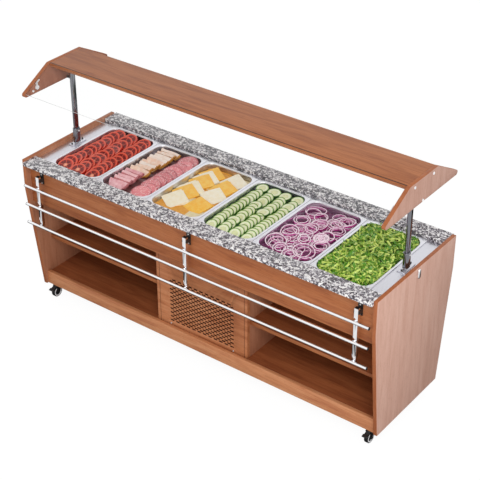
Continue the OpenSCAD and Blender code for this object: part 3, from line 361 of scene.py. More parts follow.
@dataclass(frozen=True)
class FoodSkin(Finish):
    """The moist outside of a food: two tones in soft blotches under a wet film."""

    second: str = "#808080"
    blotch: float = 12 * MM
    wet: float = 0.3
    depth: float = 0.6 * MM
    by_piece: float = 0.0

    def shade(self, tree: Tree, shader: Node) -> None:
        """Adds blotches, a difference from piece to piece, and a bumpy wet surface."""
        place = self.stretched(tree)
        blotches = clouds(tree, place, 1 / self.blotch, 4.0, 0.6)
        tone = add_node(tree, "Attribute", {"attribute_name": "tone"}).outputs["Fac"]
        part = maths(tree, "MULTIPLY_ADD", tone, self.by_piece, -self.by_piece / 2)
        colour = ramp(tree, maths(tree, "ADD", blotches, part),
                      (0.32, self.base), (0.68, self.second))
        feed(tree, shader, {"Base Color": colour, "Coat Weight": self.wet,
                            "Coat Roughness": 0.15})
        self.bump(tree, shader, clouds(tree, place, 2.4 / self.blotch, 3.0), self.depth, 0.7)


@dataclass(frozen=True)
class SliceFace(Finish):
    """A cut face on which the pattern follows the slice: each has its own UV map, in which the
    slice's middle is (0.5, 0.5) and its edge 0.5 away."""

    wet: float = 0.35

    def polar(self, tree: Tree) -> tuple[Any, Any, Any]:
        """Returns sockets for the radius from 0 to 1, the angle and the piece's tone."""
        uv = add_node(tree, "UVMap", {"uv_map": "slice"})
        centred = vector_maths(tree, "SUBTRACT", uv, (0.5, 0.5, 0.0))
        doubled = vector_maths(tree, "MULTIPLY", centred, (2.0, 2.0, 0.0))
        parts = add_node(tree, "SeparateXYZ", {}, {0: doubled})
        angle = maths(tree, "ARCTAN2", parts.outputs[1], parts.outputs[0])
        tone = add_node(tree, "Attribute", {"attribute_name": "tone"})
        return vector_maths(tree, "LENGTH", doubled).outputs["Value"], angle, tone.outputs["Fac"]

    def lobes(self, tree: Tree, angle: Any, tone: Any, count: float) -> Any:
        """Returns a socket that rises from 0 to 1 in each of so many lobes round the slice."""
        turned = maths(tree, "MULTIPLY_ADD", angle, count / 2, maths(tree, "MULTIPLY", tone, 6.28))
        return maths(tree, "ABSOLUTE", maths(tree, "SINE", turned))

    def ring(self, tree: Tree, radius: Any, low: float, high: float) -> Any:
        """Returns a socket that rises smoothly from 0 to 1 between two radii."""
        return ranged(tree, radius, low, high, kind="SMOOTHSTEP")

    def cover(self, tree: Tree, shader: Node, colour: Any, height: Any, depth: float,
              strength: float) -> None:
        """Gives the shader a colour and a relief under the thin wet film of fresh food."""
        feed(tree, shader, {"Base Color": colour, "Coat Weight": self.wet, "Coat Roughness": 0.12})
        self.bump(tree, shader, height, depth, strength)


@dataclass(frozen=True)
class TomatoFace(SliceFace):
    """Cut tomato: a pale star in the middle, dark wet seed chambers, red flesh and skin."""

    def shade(self, tree: Tree, shader: Node) -> None:
        """Adds the star, the chambers with their seeds, and the dark skin line."""
        radius, angle, tone = self.polar(tree)
        place = self.stretched(tree)
        bent = maths(tree, "MULTIPLY_ADD", clouds(tree, place, 38.0, 1.0), 0.16, radius)
        inside = self.ring(tree, bent, 0.86, 0.78)
        core = self.ring(tree, bent, 0.40, 0.28)
        spokes = self.ring(tree, self.lobes(tree, angle, tone, 5), 0.26, 0.10)
        star = maths(tree, "MAXIMUM", core, spokes)
        chamber = maths(tree, "MULTIPLY", inside, maths(tree, "SUBTRACT", 1.0, star))
        flesh = ramp(tree, radius, (0.0, "#ffc0a0"), (0.26, "#f58463"), (0.55, "#d8432b"),
                     (0.80, "#e04a33"), (0.92, "#f2745a"), (0.99, "#8e0f08"))
        seeds = add_node(tree, "TexVoronoi", {}, {"Scale": 110.0, "Vector": place})
        pulp = ramp(tree, seeds.outputs["Distance"], (0.10, "#b8401f"), (0.22, "#8a130a"),
                    (0.8, "#650a05"))
        self.cover(tree, shader, blended(tree, chamber, flesh, pulp),
                   maths(tree, "MULTIPLY", chamber, -1.0), 1.5 * MM, 0.6)


@dataclass(frozen=True)
class CucumberFace(SliceFace):
    """Cut cucumber: pale flesh, a wetter core with rows of seeds, and a green rim."""

    def shade(self, tree: Tree, shader: Node) -> None:
        """Adds the core in three lobes, its seeds, and the green under the peel."""
        radius, angle, tone = self.polar(tree)
        flesh = ramp(tree, radius, (0.0, "#e6eab0"), (0.50, "#e8eebb"), (0.62, "#f4f8dc"),
                     (0.82, "#e2edb6"), (0.88, "#9cc25a"), (0.93, "#2f6416"))
        core = maths(tree, "MULTIPLY_ADD", self.lobes(tree, angle, tone, 6), -0.12, radius)
        band = maths(tree, "MULTIPLY", self.ring(tree, core, 0.18, 0.24),
                     self.ring(tree, core, 0.50, 0.42))
        wave = maths(tree, "SINE", maths(tree, "MULTIPLY", angle, 15.0))
        seeds = maths(tree, "MULTIPLY", band, self.ring(tree, wave, 0.1, 0.8))
        colour = blended(tree, maths(tree, "MULTIPLY", seeds, 0.55), flesh, linear("#bfca7c"))
        self.cover(tree, shader, colour, seeds, 0.6 * MM, 0.5)


@dataclass(frozen=True)
class SalamiFace(SliceFace):
    """Sliced salami: rosy lean meat, white specks of fat about 3 mm wide, and a darker edge."""

    def shade(self, tree: Tree, shader: Node) -> None:
        """Adds the specks of fat, the dark edge and a brightness for each slice."""
        radius, _, tone = self.polar(tree)
        lean = ramp(tree, radius, (0.0, "#ea9296"), (0.80, "#e38389"), (0.95, "#c05f68"))
        fat = add_node(tree, "TexVoronoi", {}, {"Scale": 170.0, "Vector": self.stretched(tree)})
        some = add_node(tree, "SeparateColor", {}, {0: fat.outputs["Color"]})
        specks = maths(tree, "MULTIPLY", self.ring(tree, fat.outputs["Distance"], 0.46, 0.24),
                       self.ring(tree, some.outputs[0], 0.40, 0.60))
        marbled = blended(tree, maths(tree, "MULTIPLY", specks, 0.95), lean, linear("#fff0ec"))
        tinted = add_node(tree, "HueSaturation", {}, {
            "Color": marbled, "Value": ranged(tree, tone, 0.0, 1.0, 0.84, 1.12)})
        self.cover(tree, shader, tinted, specks, 0.4 * MM, 0.5)


CHERRY_ALONG = CherryLaminate("cherry melamine, grain along", "#a8653a", 0.5)
CHERRY_EDGE = CherryLaminate("cherry edge band", "#aa6238", 0.5, grain=Axis.Z,
                             dark="#9c5630", light="#b56d42", contrast=0.6)
# Shelves and rear panel: the cherry melamine darkened as painted shade inside the cabinet.
CHERRY_IN_PAINTED_SHADE = CherryLaminate("cherry melamine in painted shade, shelf", "#955330", 0.5, dark="#854727",
                              light="#a05c36", coat=0.0)
INNER_SIDE = CherryLaminate("cherry melamine, inner side", "#b47a5c", 0.5, grain=Axis.Z,
                            dark="#a86f52", light="#bd8567", contrast=0.6, coat=0.0)
CHERRY_PLINTH = CherryLaminate("cherry melamine, plinth", "#ca875c", 0.5, dark="#ba7650",
                               light="#d29369")
CHERRY_GRILLE = CherryLaminate("cherry melamine, grille", "#be794f", 0.5, dark="#ae6942",
                               light="#c7855b")
CHERRY_FRONT = CherryLaminate("cherry melamine, fascia", "#b26b3f", 0.5, dark="#a05b35",
                              light="#bb7649")
# Gables' inner faces: the same laminate as the uprights' inner faces, darkened as painted shade.
INNER_GABLE_PAINTED_SHADE = CherryLaminate("cherry melamine in painted shade, inner gable", "#a1684f", 0.5, grain=Axis.Z,
                             dark="#955c44", light="#ab7359", contrast=0.6, coat=0.0)
# Outer faces of uprights and gables: the cherry melamine paled by a painted sheen, standing in for
# the light from the right.
SIDE_WITH_PAINTED_SHEEN = CherryLaminate("cherry melamine, upright, painted sheen", "#d1a593", 0.45, grain=Axis.Z,
                           dark="#c69885", light="#dab2a1", contrast=0.6, coat=0.2)
GABLE_WITH_PAINTED_SHEEN = CherryLaminate("cherry melamine, gable, painted sheen", "#c09482", 0.45, grain=Axis.Z,
                            dark="#b58876", light="#c9a08f", contrast=0.6, coat=0.2)
GRANITE = SpeckledGranite("speckled granite, polished", "#8d878f", 0.22)
# The rear ledge: the same granite, darker as painted shade under the hood.
GRANITE_REAR = SpeckledGranite("speckled granite in painted shade, rear", "#7d777f", 0.22, shift=-0.32)
STAINLESS = BrushedStainless("stainless steel, brushed", "#d8d8df", 0.26)
STAINLESS_PAN = BrushedStainless("stainless steel, deep-drawn", "#e4e4ea", 0.27, grain=Axis.Y)
CHROME = PolishedChrome("chrome plate", "#f8f8fa", 0.07)
# Chrome with a darker base colour: a painted dark reflection on the posts and socket collars.
CHROME_PAINTED_DARK = PolishedChrome("chrome plate with painted dark reflection", "#85858b", 0.08)
GLASS = GlazedPane("float glass", "#dfeae6", 0.02)
GLASS_EDGE = GlazedPane("float glass, ground edge", "#f6faf9", 0.35, alpha=0.97)
BLACK_PLASTIC = MouldedPlastic("black nylon", "#111113", 0.42)
WHITE_PLASTIC = MouldedPlastic("white nylon", "#ededee", 0.38)
TYRE = MouldedPlastic("black rubber", "#111113", 0.6, grain=2 * MM, depth=0.12 * MM)
HUB_PLASTIC = MouldedPlastic("light grey polypropylene", "#e6e6e9", 0.35)
BLACK_STEEL = CastMetal("black painted steel", "#101012", 0.38)
BLACKED_STEEL = CastMetal("blackened steel", "#3b3736", 0.34, metallic=0.4)
NICKEL = CastMetal("nickel-plated screw", "#ececec", 0.3, metallic=0.3)
BLACK_ENAMEL = CastMetal("black enamel", "#19191b", 0.3)
ALUMINIUM = CastMetal("aluminium sheet", "#bcbdc0", 0.4, metallic=1.0)
COPPER = CastMetal("copper tube", "#b87048", 0.3, metallic=1.0)
FOAM = CastMetal("insulating foam, skinned", "#d9d2bd", 0.8, spread=0.08, grain=4 * MM)
TOMATO_FACE = TomatoFace("tomato, cut", "#cf4533", 0.4, wet=0.12)
TOMATO_SKIN = FoodSkin("tomato skin", "#b3170e", 0.3, second="#d2301f", wet=0.25)
# Dark bed under the tomatoes: painted shade.
TOMATO_BED = FoodSkin("tomato in painted shade, below the slices", "#4d0a07", 0.5, second="#7a1710", wet=0.2)
CUCUMBER_FACE = CucumberFace("cucumber, cut", "#dfe3a4", 0.35)
CUCUMBER_PEEL = FoodSkin("cucumber peel", "#1f4a10", 0.4, second="#3a6c20", wet=0.2)
# Dark bed under the cucumbers: painted shade.
CUCUMBER_BED = FoodSkin("cucumber in painted shade, below the slices", "#1f3d0e", 0.5, second="#3f6420")
SALAMI_FACE = SalamiFace("salami, sliced", "#c77079", 0.4, wet=0.2)
SALAMI_EDGE = FoodSkin("salami edge", "#7a2d37", 0.45, second="#a04a54", wet=0.1)
HAM = FoodSkin("boiled ham", "#e39aa2", 0.5, second="#f7c9cc", blotch=18 * MM,
               wet=0.1, by_piece=0.5)
# Ham rind, also used as painted shade on the ham's lower leaves.
HAM_RIND_AND_SHADE = FoodSkin("painted shade and ham rind", "#b4555d", 0.5, second="#df9496", blotch=6 * MM,
                    wet=0.1)
TURKEY = FoodSkin("roast turkey", "#f8d5bd", 0.5, second="#fff2e6", blotch=22 * MM,
                  wet=0.1, by_piece=0.4)
TURKEY_EDGE = FoodSkin("roast crust", "#a8651f", 0.5, second="#e0a24c", blotch=6 * MM)
TURKEY_SHADE = FoodSkin("roast turkey in shade", "#b98a66", 0.5, second="#d4a986",
                        blotch=14 * MM, wet=0.0)
MEAT_BED = FoodSkin("meat in shade", "#4a191c", 0.5, second="#6f3130")
CHEDDAR = FoodSkin("orange cheddar", "#ffbe3c", 0.45, second="#ffd266", blotch=20 * MM,
                   wet=0.12, depth=0.4 * MM, by_piece=0.2)
PALE_CHEESE = FoodSkin("pale cheese", "#fbf0cf", 0.45, second="#fffae6", blotch=20 * MM,
                       wet=0.12, depth=0.4 * MM, by_piece=0.2)
# Darker copies of both cheeses for the under-layer: painted shade below the stacks.
CHEDDAR_PAINTED_SHADE = FoodSkin("orange cheddar in painted shade", "#e09a2c", 0.5, second="#f0ad45", wet=0.0)
PALE_CHEESE_PAINTED_SHADE = FoodSkin("pale cheese in painted shade", "#e6d6a6", 0.5, second="#f2e6c0", wet=0.0)
ONION_FACE = FoodSkin("red onion, cut", "#f2cfe3", 0.35, second="#fff4fa", blotch=9 * MM,
                      wet=0.4, by_piece=0.3)
ONION_SKIN = FoodSkin("red onion, outside", "#9a1a6c", 0.3, second="#d05aa6", blotch=14 * MM,
                      wet=0.25, by_piece=0.6)
ONION_INSIDE = FoodSkin("red onion, inside", "#bb5a98", 0.35, second="#e7b5d3", blotch=14 * MM,
                        wet=0.2)
# Dark bed under the onion rings: painted shade.
ONION_BED = FoodSkin("red onion in painted shade, below the rings", "#54193f", 0.5, second="#8a3f72", blotch=8 * MM)
CHEESE_BED = FoodSkin("cheese in shade", "#d9a94c", 0.5, second="#eed08a", blotch=60 * MM)
LETTUCE = FoodSkin("shredded lettuce", "#559316", 0.45, second="#d6ea74", blotch=14 * MM,
                   wet=0.25, by_piece=1.0)
LETTUCE_BED = FoodSkin("lettuce in shade", "#2c520f", 0.5, second="#4b7f1f", blotch=10 * MM)
# Near-black cherry: the real joint line beside each partition, and painted shade in the grille's
# slots, round their mouths and along the hood board's front edge.
JOINT_AND_PAINTED_SHADE = CherryLaminate("cherry glue joint and painted shade", "#47230f", 0.6, dark="#3a1b0b",
                             light="#552c17")


# ---- Shaping ----


BODY_OF = {node: body for body, nodes in frame["record"]["behaviour"]["bodies"].items()
           for node in nodes}


def placed(name: str, data: bpy.types.ID) -> bpy.types.Object:
    """Adds an object with its data to the scene and returns it."""
    made = bpy.data.objects.new(name, data)
    bpy.context.scene.collection.objects.link(made)
    return made


def finished(name: str, bm: Mesh, finishes: Sequence[Finish], like: str,
             nodes: Sequence[str] = (), sharp: float = 35.0) -> bpy.types.Object:
    """Turns a mesh into a piece that rides on its body.

    Args:
        name: The piece's name.
        bm: Its mesh, which is used up.
        finishes: What its faces' material numbers stand for.
        like: A CAD node whose body it shares.
        nodes: The CAD nodes that it stands for.
        sharp: Edges over this angle, in degrees, stay sharp.

    Returns:
        The new object.
    """
    mesh = bpy.data.meshes.new(name)
    bm.to_mesh(mesh)
    bm.free()
    for finish in finishes:
        mesh.materials.append(finish.material())
    mesh.shade_smooth()
    mesh.set_sharp_from_angle(angle=math.radians(sharp))
    made = placed(name, mesh)
    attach(made, BODY_OF[like])
    if nodes:
        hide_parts(*nodes)
    LOG.info("%s: %d faces, on %s", name, len(mesh.polygons), BODY_OF[like])
    return made


def remade(node: str, bm: Mesh, *finishes: Finish, sharp: float = 35.0) -> None:
    """Shows a mesh in place of one CAD node."""
    finished("shaped_" + node, bm, finishes, node, (node,), sharp)


def dress(node: str, *finishes: Finish) -> None:
    """Gives a CAD node that stays visible its finish.

    Args:
        node: The node's name.
        finishes: The finish of each of its material slots.
    """
    piece = frame["nodes"][node]
    piece.data.materials.clear()
    for finish in finishes:
        piece.data.materials.append(finish.material())
    LOG.info("%s: dressed as it is", node)


def copied(node: str, whole: bool = True) -> Mesh:
    """Returns a merged copy of a CAD node's mesh.

    Args:
        node: The node's name.
        whole: Whether its flat faces are made whole again.

    Returns:
        The new mesh.
    """
    bm = bmesh.new()
    bm.from_mesh(frame["nodes"][node].data)
    bmesh.ops.remove_doubles(bm, verts=bm.verts, dist=0.01 * MM)
    if whole:
        bmesh.ops.dissolve_limit(bm, angle_limit=math.radians(0.4), verts=bm.verts,
                                 edges=bm.edges)
    bmesh.ops.recalc_face_normals(bm, faces=bm.faces)
    return bm


def eased(bm: Mesh, width: float, segments: int = 2, angle: float = 30.0,
          where: Callable[[Vector], bool] = lambda point: True) -> Mesh:
    """Bevels a mesh's sharp edges.

    Args:
        bm: The mesh.
        width: The bevel's width in metres.
        segments: Its number of strips.
        angle: Edges over this angle, in degrees, are bevelled.
        where: Whether an edge with its ends at such points is bevelled.

    Returns:
        The same mesh.
    """
    edges = [e for e in bm.edges
             if len(e.link_faces) == 2 and e.calc_face_angle(0.0) > math.radians(angle)
             and all(where(v.co) for v in e.verts)]
    bmesh.ops.bevel(bm, geom=edges, offset=width, offset_type="OFFSET", segments=segments,
                    profile=0.5, affect="EDGES", clamp_overlap=True, material=-1)
    return bm


def rounded(node: str, width: float, finish: Finish, segments: int = 2,
            angle: float = 50.0) -> None:
    """Shows a CAD node with its sharp edges bevelled, as eased does."""
    remade(node, eased(copied(node), width, segments, angle), finish)


def cut(bm: Mesh, axis: Axis, at: float) -> None:
    """Cuts a mesh's faces along the plane at a place on an axis, and keeps both sides."""
    bmesh.ops.bisect_plane(bm, geom=bm.verts[:] + bm.edges[:] + bm.faces[:],
                           plane_co=axis.unit() * at, plane_no=axis.unit())


def painted(bm: Mesh, rule: Callable[[Face], int]) -> Mesh:
    """Gives each face the material number that the rule says, and returns the mesh."""
    bm.normal_update()
    for face in bm.faces:
        face.material_index = rule(face)
    return bm


def add_rod(bm: Mesh, start: Vector, end: Vector, radius: float, steps: int) -> None:
    """Adds a round rod between two points."""
    way = end - start
    place = Matrix.Translation((start + end) / 2) @ way.to_track_quat("Z", "Y").to_matrix().to_4x4()
    bmesh.ops.create_cone(bm, cap_ends=True, segments=steps, radius1=radius, radius2=radius,
                          depth=way.length, matrix=place)


def add_spun(bm: Mesh, profile: Points, centre: Sequence[float], axis: Axis,
             steps: int = 48) -> list[Vert]:
    """Spins a closed outline to a solid.

    Args:
        bm: The mesh that gets it.
        profile: Pairs of radius and place along the axis; the last is joined to the first.
        centre: Where its origin goes.
        axis: The axis that it spins about.
        steps: The number of steps round.

    Returns:
        The new vertices.
    """
    centre, unit = Vector(centre), axis.unit()
    side = Vector((unit.y, unit.z, unit.x))
    made = [bm.verts.new(centre + unit * along + side * radius) for radius, along in profile]
    edges = [bm.edges.new(pair) for pair in zip(made, made[1:] + made[:1])]
    old = set(bm.verts) - set(made)
    bmesh.ops.spin(bm, geom=made + edges, cent=centre, axis=unit, angle=math.tau, steps=steps,
                   use_merge=True)
    new = [v for v in bm.verts if v not in old]
    bmesh.ops.remove_doubles(bm, verts=new, dist=0.002 * MM)
    new = [v for v in bm.verts if v not in old]
    bmesh.ops.recalc_face_normals(bm, faces=faces_of(new))
    return new


def rounded_outline(width: float, length: float, radius: float, steps: int) -> list[Vector]:
    """Returns the points of a rounded rectangle about the origin, anticlockwise."""
    points = []
    for corner, (sx, sy) in enumerate(((1, 1), (-1, 1), (-1, -1), (1, -1))):
        middle = Vector((sx * (width / 2 - radius), sy * (length / 2 - radius), 0))
        for step in range(steps + 1):
            angle = math.pi / 2 * (corner + step / steps)
            points.append(middle + Vector((math.cos(angle), math.sin(angle), 0)) * radius)
    return points


def add_loft(bm: Mesh, centre: Sequence[float], rings: Sequence[tuple[float, float, float, float]],
             steps: int = 8, close: bool = True) -> list[Vert]:
    """Lofts a skin through level rounded rectangles, each extruded from the one before.

    Args:
        bm: The mesh that gets it.
        centre: The place of the rectangles' middle.
        rings: For each its width, length, corner radius and height.
        steps: Points on each corner.
        close: Whether the last ring is filled with a face.

    Returns:
        The new vertices.
    """
    centre = Vector(centre)
    count = 4 * (steps + 1)
    ring = bmesh.ops.create_circle(bm, cap_ends=False, segments=count, radius=1.0)["verts"]
    edges = list(dict.fromkeys(e for v in ring for e in v.link_edges))
    made = list(ring)
    for number, (width, length, radius, height) in enumerate(rings):
        if number:
            grown = bmesh.ops.extrude_edge_only(bm, edges=edges)["geom"]
            edges = [g for g in grown if isinstance(g, Edge)]
            new = {g for g in grown if isinstance(g, Vert)}
            ring = [next(e.other_vert(v) for e in v.link_edges if e.other_vert(v) in new)
                    for v in ring]
            edges = [e for e in edges if e.verts[0] in new and e.verts[1] in new]
            made += ring
        for vert, point in zip(ring, rounded_outline(width, length, radius, steps)):
            vert.co = centre + point + Vector((0, 0, height))
    if close:
        bm.faces.new(ring)
    bmesh.ops.recalc_face_normals(bm, faces=faces_of(made))
    return made


def solids(node: str) -> list[tuple[Vector, Vector]]:
    """Returns the boxes of a node's separate solids, from the lowest X, Y and Z on."""
    bm = copied(node)
    left, found = set(bm.verts), []
    while left:
        group, front = set(), [left.pop()]
        while front:
            vert = front.pop()
            group.add(vert)
            near = {e.other_vert(vert) for e in vert.link_edges} - group
            front.extend(near)
            group |= near
        left -= group
        low = Vector([min(v.co[i] for v in group) for i in range(3)])
        high = Vector([max(v.co[i] for v in group) for i in range(3)])
        found.append((low, high))
    bm.free()
    return sorted(found, key=lambda pair: tuple(round(c, 4) for c in pair[0]))


def connected(start: Vert) -> list[Vert]:
    """Returns all vertices that hang together with one, in a fixed order."""
    found, queue = {start: True}, [start]
    for vert in queue:
        for edge in vert.link_edges:
            other = edge.other_vert(vert)
            if other not in found:
                found[other] = True
                queue.append(other)
    return queue


def faces_of(verts: Iterable[Vert]) -> list[Face]:
    """Returns the faces at some vertices, in a fixed order."""
    return list(dict.fromkeys(f for v in verts for f in v.link_faces))


# ---- Cabinet ----


@dataclass
class Carcass:
    """The wooden carcass: melamine boards with eased, banded edges, grille and rear panel."""

    ease: float = 0.9 * MM
    seam: float = 2.5 * MM
    border: float = 20 * MM
    rim: float = 1.3 * MM
    rim_lift: float = 0.25 * MM

    def board(self, node: str, thin: Axis, face: Finish, edge: Finish) -> None:
        """Remakes boards from their CAD node, banded in another finish along their edges.

        Args:
            node: The CAD node.
            thin: The axis across the board's thickness.
            face: The finish of its broad faces.
            edge: The finish of its edges.
        """
        bm = painted(eased(copied(node), self.ease),
                     lambda f: 0 if abs(f.normal[thin.value]) > 0.9 else 1)
        remade(node, bm, face, edge)

    def side(self, node: str, outer: Finish, inner: Finish) -> None:
        """Remakes a side board.

        Args:
            node: The CAD node.
            outer: The finish of its outer face, paler by a painted sheen.
            inner: The finish of its inner face.
        """
        outward = math.copysign(1.0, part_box(node)[0].x)
        bm = painted(eased(copied(node), self.ease),
                     lambda f: 1 - round(f.normal.x * outward) if abs(f.normal.x) > 0.9 else 1)
        remade(node, bm, outer, CHERRY_EDGE, inner)

    def grille(self) -> None:
        """Remakes the slotted panel: its slots' walls are painted shade, and a fine joint shows
        where it meets each partition."""
        bm = copied("grille_panel", False)
        low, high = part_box("grille_panel")
        half, border = (high.x - low.x) / 2, self.border
        for edge in (border, border - self.seam):
            for side in (-1, 1):
                cut(bm, Axis.X, side * (half - edge))

        def rule(face: Face) -> int:
            middle = face.calc_center_median()
            if abs(face.normal.y) > 0.5:
                return int(border - self.seam < half - abs(middle.x) < border)
            # Slot walls inside the border are painted shade.
            return int(abs(middle.x) < half - 2 * border
                       and low.z + border < middle.z < high.z - border)

        painted(bm, rule)
        self.slot_shade_rims(bm, low.y)
        remade("grille_panel", bm, CHERRY_GRILLE, JOINT_AND_PAINTED_SHADE)

    def slot_shade_rims(self, bm: Mesh, front: float) -> None:
        """Adds a dark rim round each slot's mouth, painted shade that makes the slot look larger.

        Args:
            bm: The panel's mesh.
            front: The place of its front face along Y.
        """
        mouth = [e for e in bm.edges
                 if all(abs(v.co.y - front) < 0.01 * MM for v in e.verts)
                 and any(f.material_index == 1 and abs(f.normal.y) < 0.5 for f in e.link_faces)]
        made = bmesh.ops.duplicate(bm, geom=mouth)["geom"]
        edges = [g for g in made if isinstance(g, Edge)]
        inner = list(dict.fromkeys(v for e in edges for v in e.verts))
        grown = bmesh.ops.extrude_edge_only(bm, edges=edges)["geom"]
        outer = {g for g in grown if isinstance(g, Vert)}
        left = set(inner)
        for start in inner:
            if start not in left:
                continue
            rim = connected(start)
            left -= set(rim)
            middle = sum((v.co for v in rim), Vector()) / len(rim)
            half = [max(abs(v.co[i] - middle[i]) for v in rim) for i in range(3)]
            for vert in rim:
                vert.co.y -= self.rim_lift
                for i in (0, 2):
                    if vert in outer:
                        vert.co[i] += (vert.co[i] - middle[i]) * self.rim / half[i]
            # Each rim's faces are painted shade.
            for face in faces_of(rim):
                face.material_index = 1
                face.normal_update()
                if face.normal.y > 0:
                    face.normal_flip()

    def build(self) -> None:
        """Builds all boards."""
        for end in ("left", "right"):
            self.side("side_panel_" + end, SIDE_WITH_PAINTED_SHEEN, INNER_SIDE)
        # Shelves take the cherry melamine darkened as painted shade.
        for node, thin, face, edge in (
                ("front_fascia", Axis.Y, CHERRY_FRONT, CHERRY_EDGE),
                ("rear_fascia", Axis.Y, CHERRY_FRONT, CHERRY_EDGE),
                ("plinth_boards", Axis.Y, CHERRY_PLINTH, CHERRY_PLINTH),
                ("bottom_shelf", Axis.Z, CHERRY_IN_PAINTED_SHADE, CHERRY_IN_PAINTED_SHADE),
                ("mid_shelves", Axis.Z, CHERRY_IN_PAINTED_SHADE, CHERRY_ALONG),
                ("partitions", Axis.X, INNER_SIDE, CHERRY_EDGE)):
            self.board(node, thin, face, edge)
        self.grille()
        # The rear panel takes the cherry melamine darkened as painted shade.
        dress("rear_panel", CHERRY_IN_PAINTED_SHADE)


@dataclass
class GraniteLedges:
    """The two polished granite ledges, with eased edges all round."""

    ease: float = 1.5 * MM

    def build(self) -> None:
        """Builds both ledges."""
        rounded("granite_front", self.ease, GRANITE, 3, 30)
        # The rear ledge is drawn in the granite darkened as painted shade.
        rounded("granite_rear", self.ease, GRANITE_REAR, 3, 30)


@dataclass
class ColdWell:
    """Deck, tank, insulated casing and bars of the cold well, with its coil and drain."""

    bar_ease: float = 1.5 * MM

    def build(self) -> None:
        """Dresses the sheet metal and rounds the bars between the pans."""
        for node, finish in (("well_deck", STAINLESS), ("well_tank", STAINLESS),
                             ("tank_casing", FOAM), ("cooling_coil", COPPER),
                             ("drain_pipe", STAINLESS)):
            dress(node, finish)
        rounded("pan_bars", self.bar_ease, STAINLESS, 3, 30)


@dataclass
class FoodPan:
    """A full size food pan, drawn from one sheet: folded lip, flat rim, drafted walls and a
    rounded floor."""

    number: int
    sheet: float = 1.2 * MM
    bowl: tuple[float, float] = (300 * MM, 503 * MM)
    corner: float = 60 * MM
    rim_corner: float = 14 * MM
    mouth: float = 4 * MM
    draft: float = 2.5 * MM
    fillet: float = 16 * MM
    fold: float = 4.7 * MM
    bend: float = 2 * MM
    steps: int = 9

    def skin(self, top: float, floor: float, inset: float) -> list[tuple[float, ...]]:
        """Returns the bowl's outlines from its mouth to its floor.

        Args:
            top: The height at which the skin meets the rim.
            floor: The height of its floor.
            inset: How far it lies inside the bowl's outer size.

        Returns:
            For each outline its width, length, corner radius and height.
        """
        width, length = (size - 2 * inset for size in self.bowl)
        corner = self.corner - inset
        rings = []
        for angle in (0, 30, 60, 90):
            out = self.mouth * (1 - math.sin(math.radians(angle)))
            down = self.mouth * (1 - math.cos(math.radians(angle)))
            rings.append((width + 2 * out, length + 2 * out, corner + out, top - down))
        for angle in (0, 22, 45, 68, 90):
            back = self.draft + self.fillet * (1 - math.cos(math.radians(angle)))
            up = self.fillet * (1 - math.sin(math.radians(angle)))
            rings.append((width - 2 * back, length - 2 * back, corner - back, floor + up))
        return rings

    def build(self) -> None:
        """Builds the pan as one closed sheet."""
        node = f"pan_{self.number}"
        low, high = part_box(node)
        width, length, _ = high - low
        top, sheet, lip = high.z, self.sheet, high.z - self.fold
        under = self.skin(top - sheet, low.z, 0.0)
        upper = self.skin(top, low.z + sheet, sheet)
        inner = (width - 2 * sheet, length - 2 * sheet, self.rim_corner - sheet)
        rings = under[::-1] + [
            (*(side - self.bend for side in inner[:2]), inner[2], top - sheet),
            (*inner, top - 2 * sheet), (*inner, lip), (width, length, self.rim_corner, lip),
            (width, length, self.rim_corner, top - 1.5 * MM),
            (width - MM, length - MM, self.rim_corner, top - 0.4 * MM),
            (width - 3 * MM, length - 3 * MM, self.rim_corner - MM, top)] + upper
        bm = bmesh.new()
        add_loft(bm, ((low.x + high.x) / 2, (low.y + high.y) / 2, 0), rings, self.steps)
        remade(node, bm, STAINLESS_PAN, sharp=50)


# ---- Hood ----


@dataclass
class Hood:
    """The hood: a top board between two gables, two panes of glass and their clips."""

    ease: float = 0.9 * MM
    lipping: float = 1.5 * MM
    joint: float = 8 * MM
    ground: float = 4 * MM
    glass_ease: float = 0.5 * MM
    clip_ease: float = 0.6 * MM

    def top_board(self) -> None:
        """Builds the board with a dark band on its top at the front edge band's joint, painted
        shade for the shadow gap there.
        """
        bm = eased(copied("hood_board"), self.ease)
        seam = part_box("hood_board")[0].y + self.lipping
        for edge in (seam, seam + self.joint):
            cut(bm, Axis.Y, edge)
        # Top faces between the two cuts are painted shade.
        painted(bm, lambda f: int(seam < f.calc_center_median().y < seam + self.joint
                                  and abs(f.normal.z) > 0.9))
        remade("hood_board", bm, CHERRY_ALONG, JOINT_AND_PAINTED_SHADE)

    def build(self) -> None:
        """Builds the hood; the front pane's foot is ground, and catches the light."""
        self.top_board()
        for end in ("left", "right"):
            # Gables: outer faces carry a painted sheen, inner faces painted shade.
            Carcass(self.ease).side("gable_" + end, GABLE_WITH_PAINTED_SHEEN, INNER_GABLE_PAINTED_SHADE)
        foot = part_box("glass_guards")[0].z + self.ground
        panes = painted(eased(copied("glass_guards"), self.glass_ease),
                        lambda f: int(f.calc_center_median().z < foot
                                      and f.calc_center_median().y < 0))
        remade("glass_guards", panes, GLASS, GLASS_EDGE)
        rounded("glass_clips", self.clip_ease, WHITE_PLASTIC, angle=30)


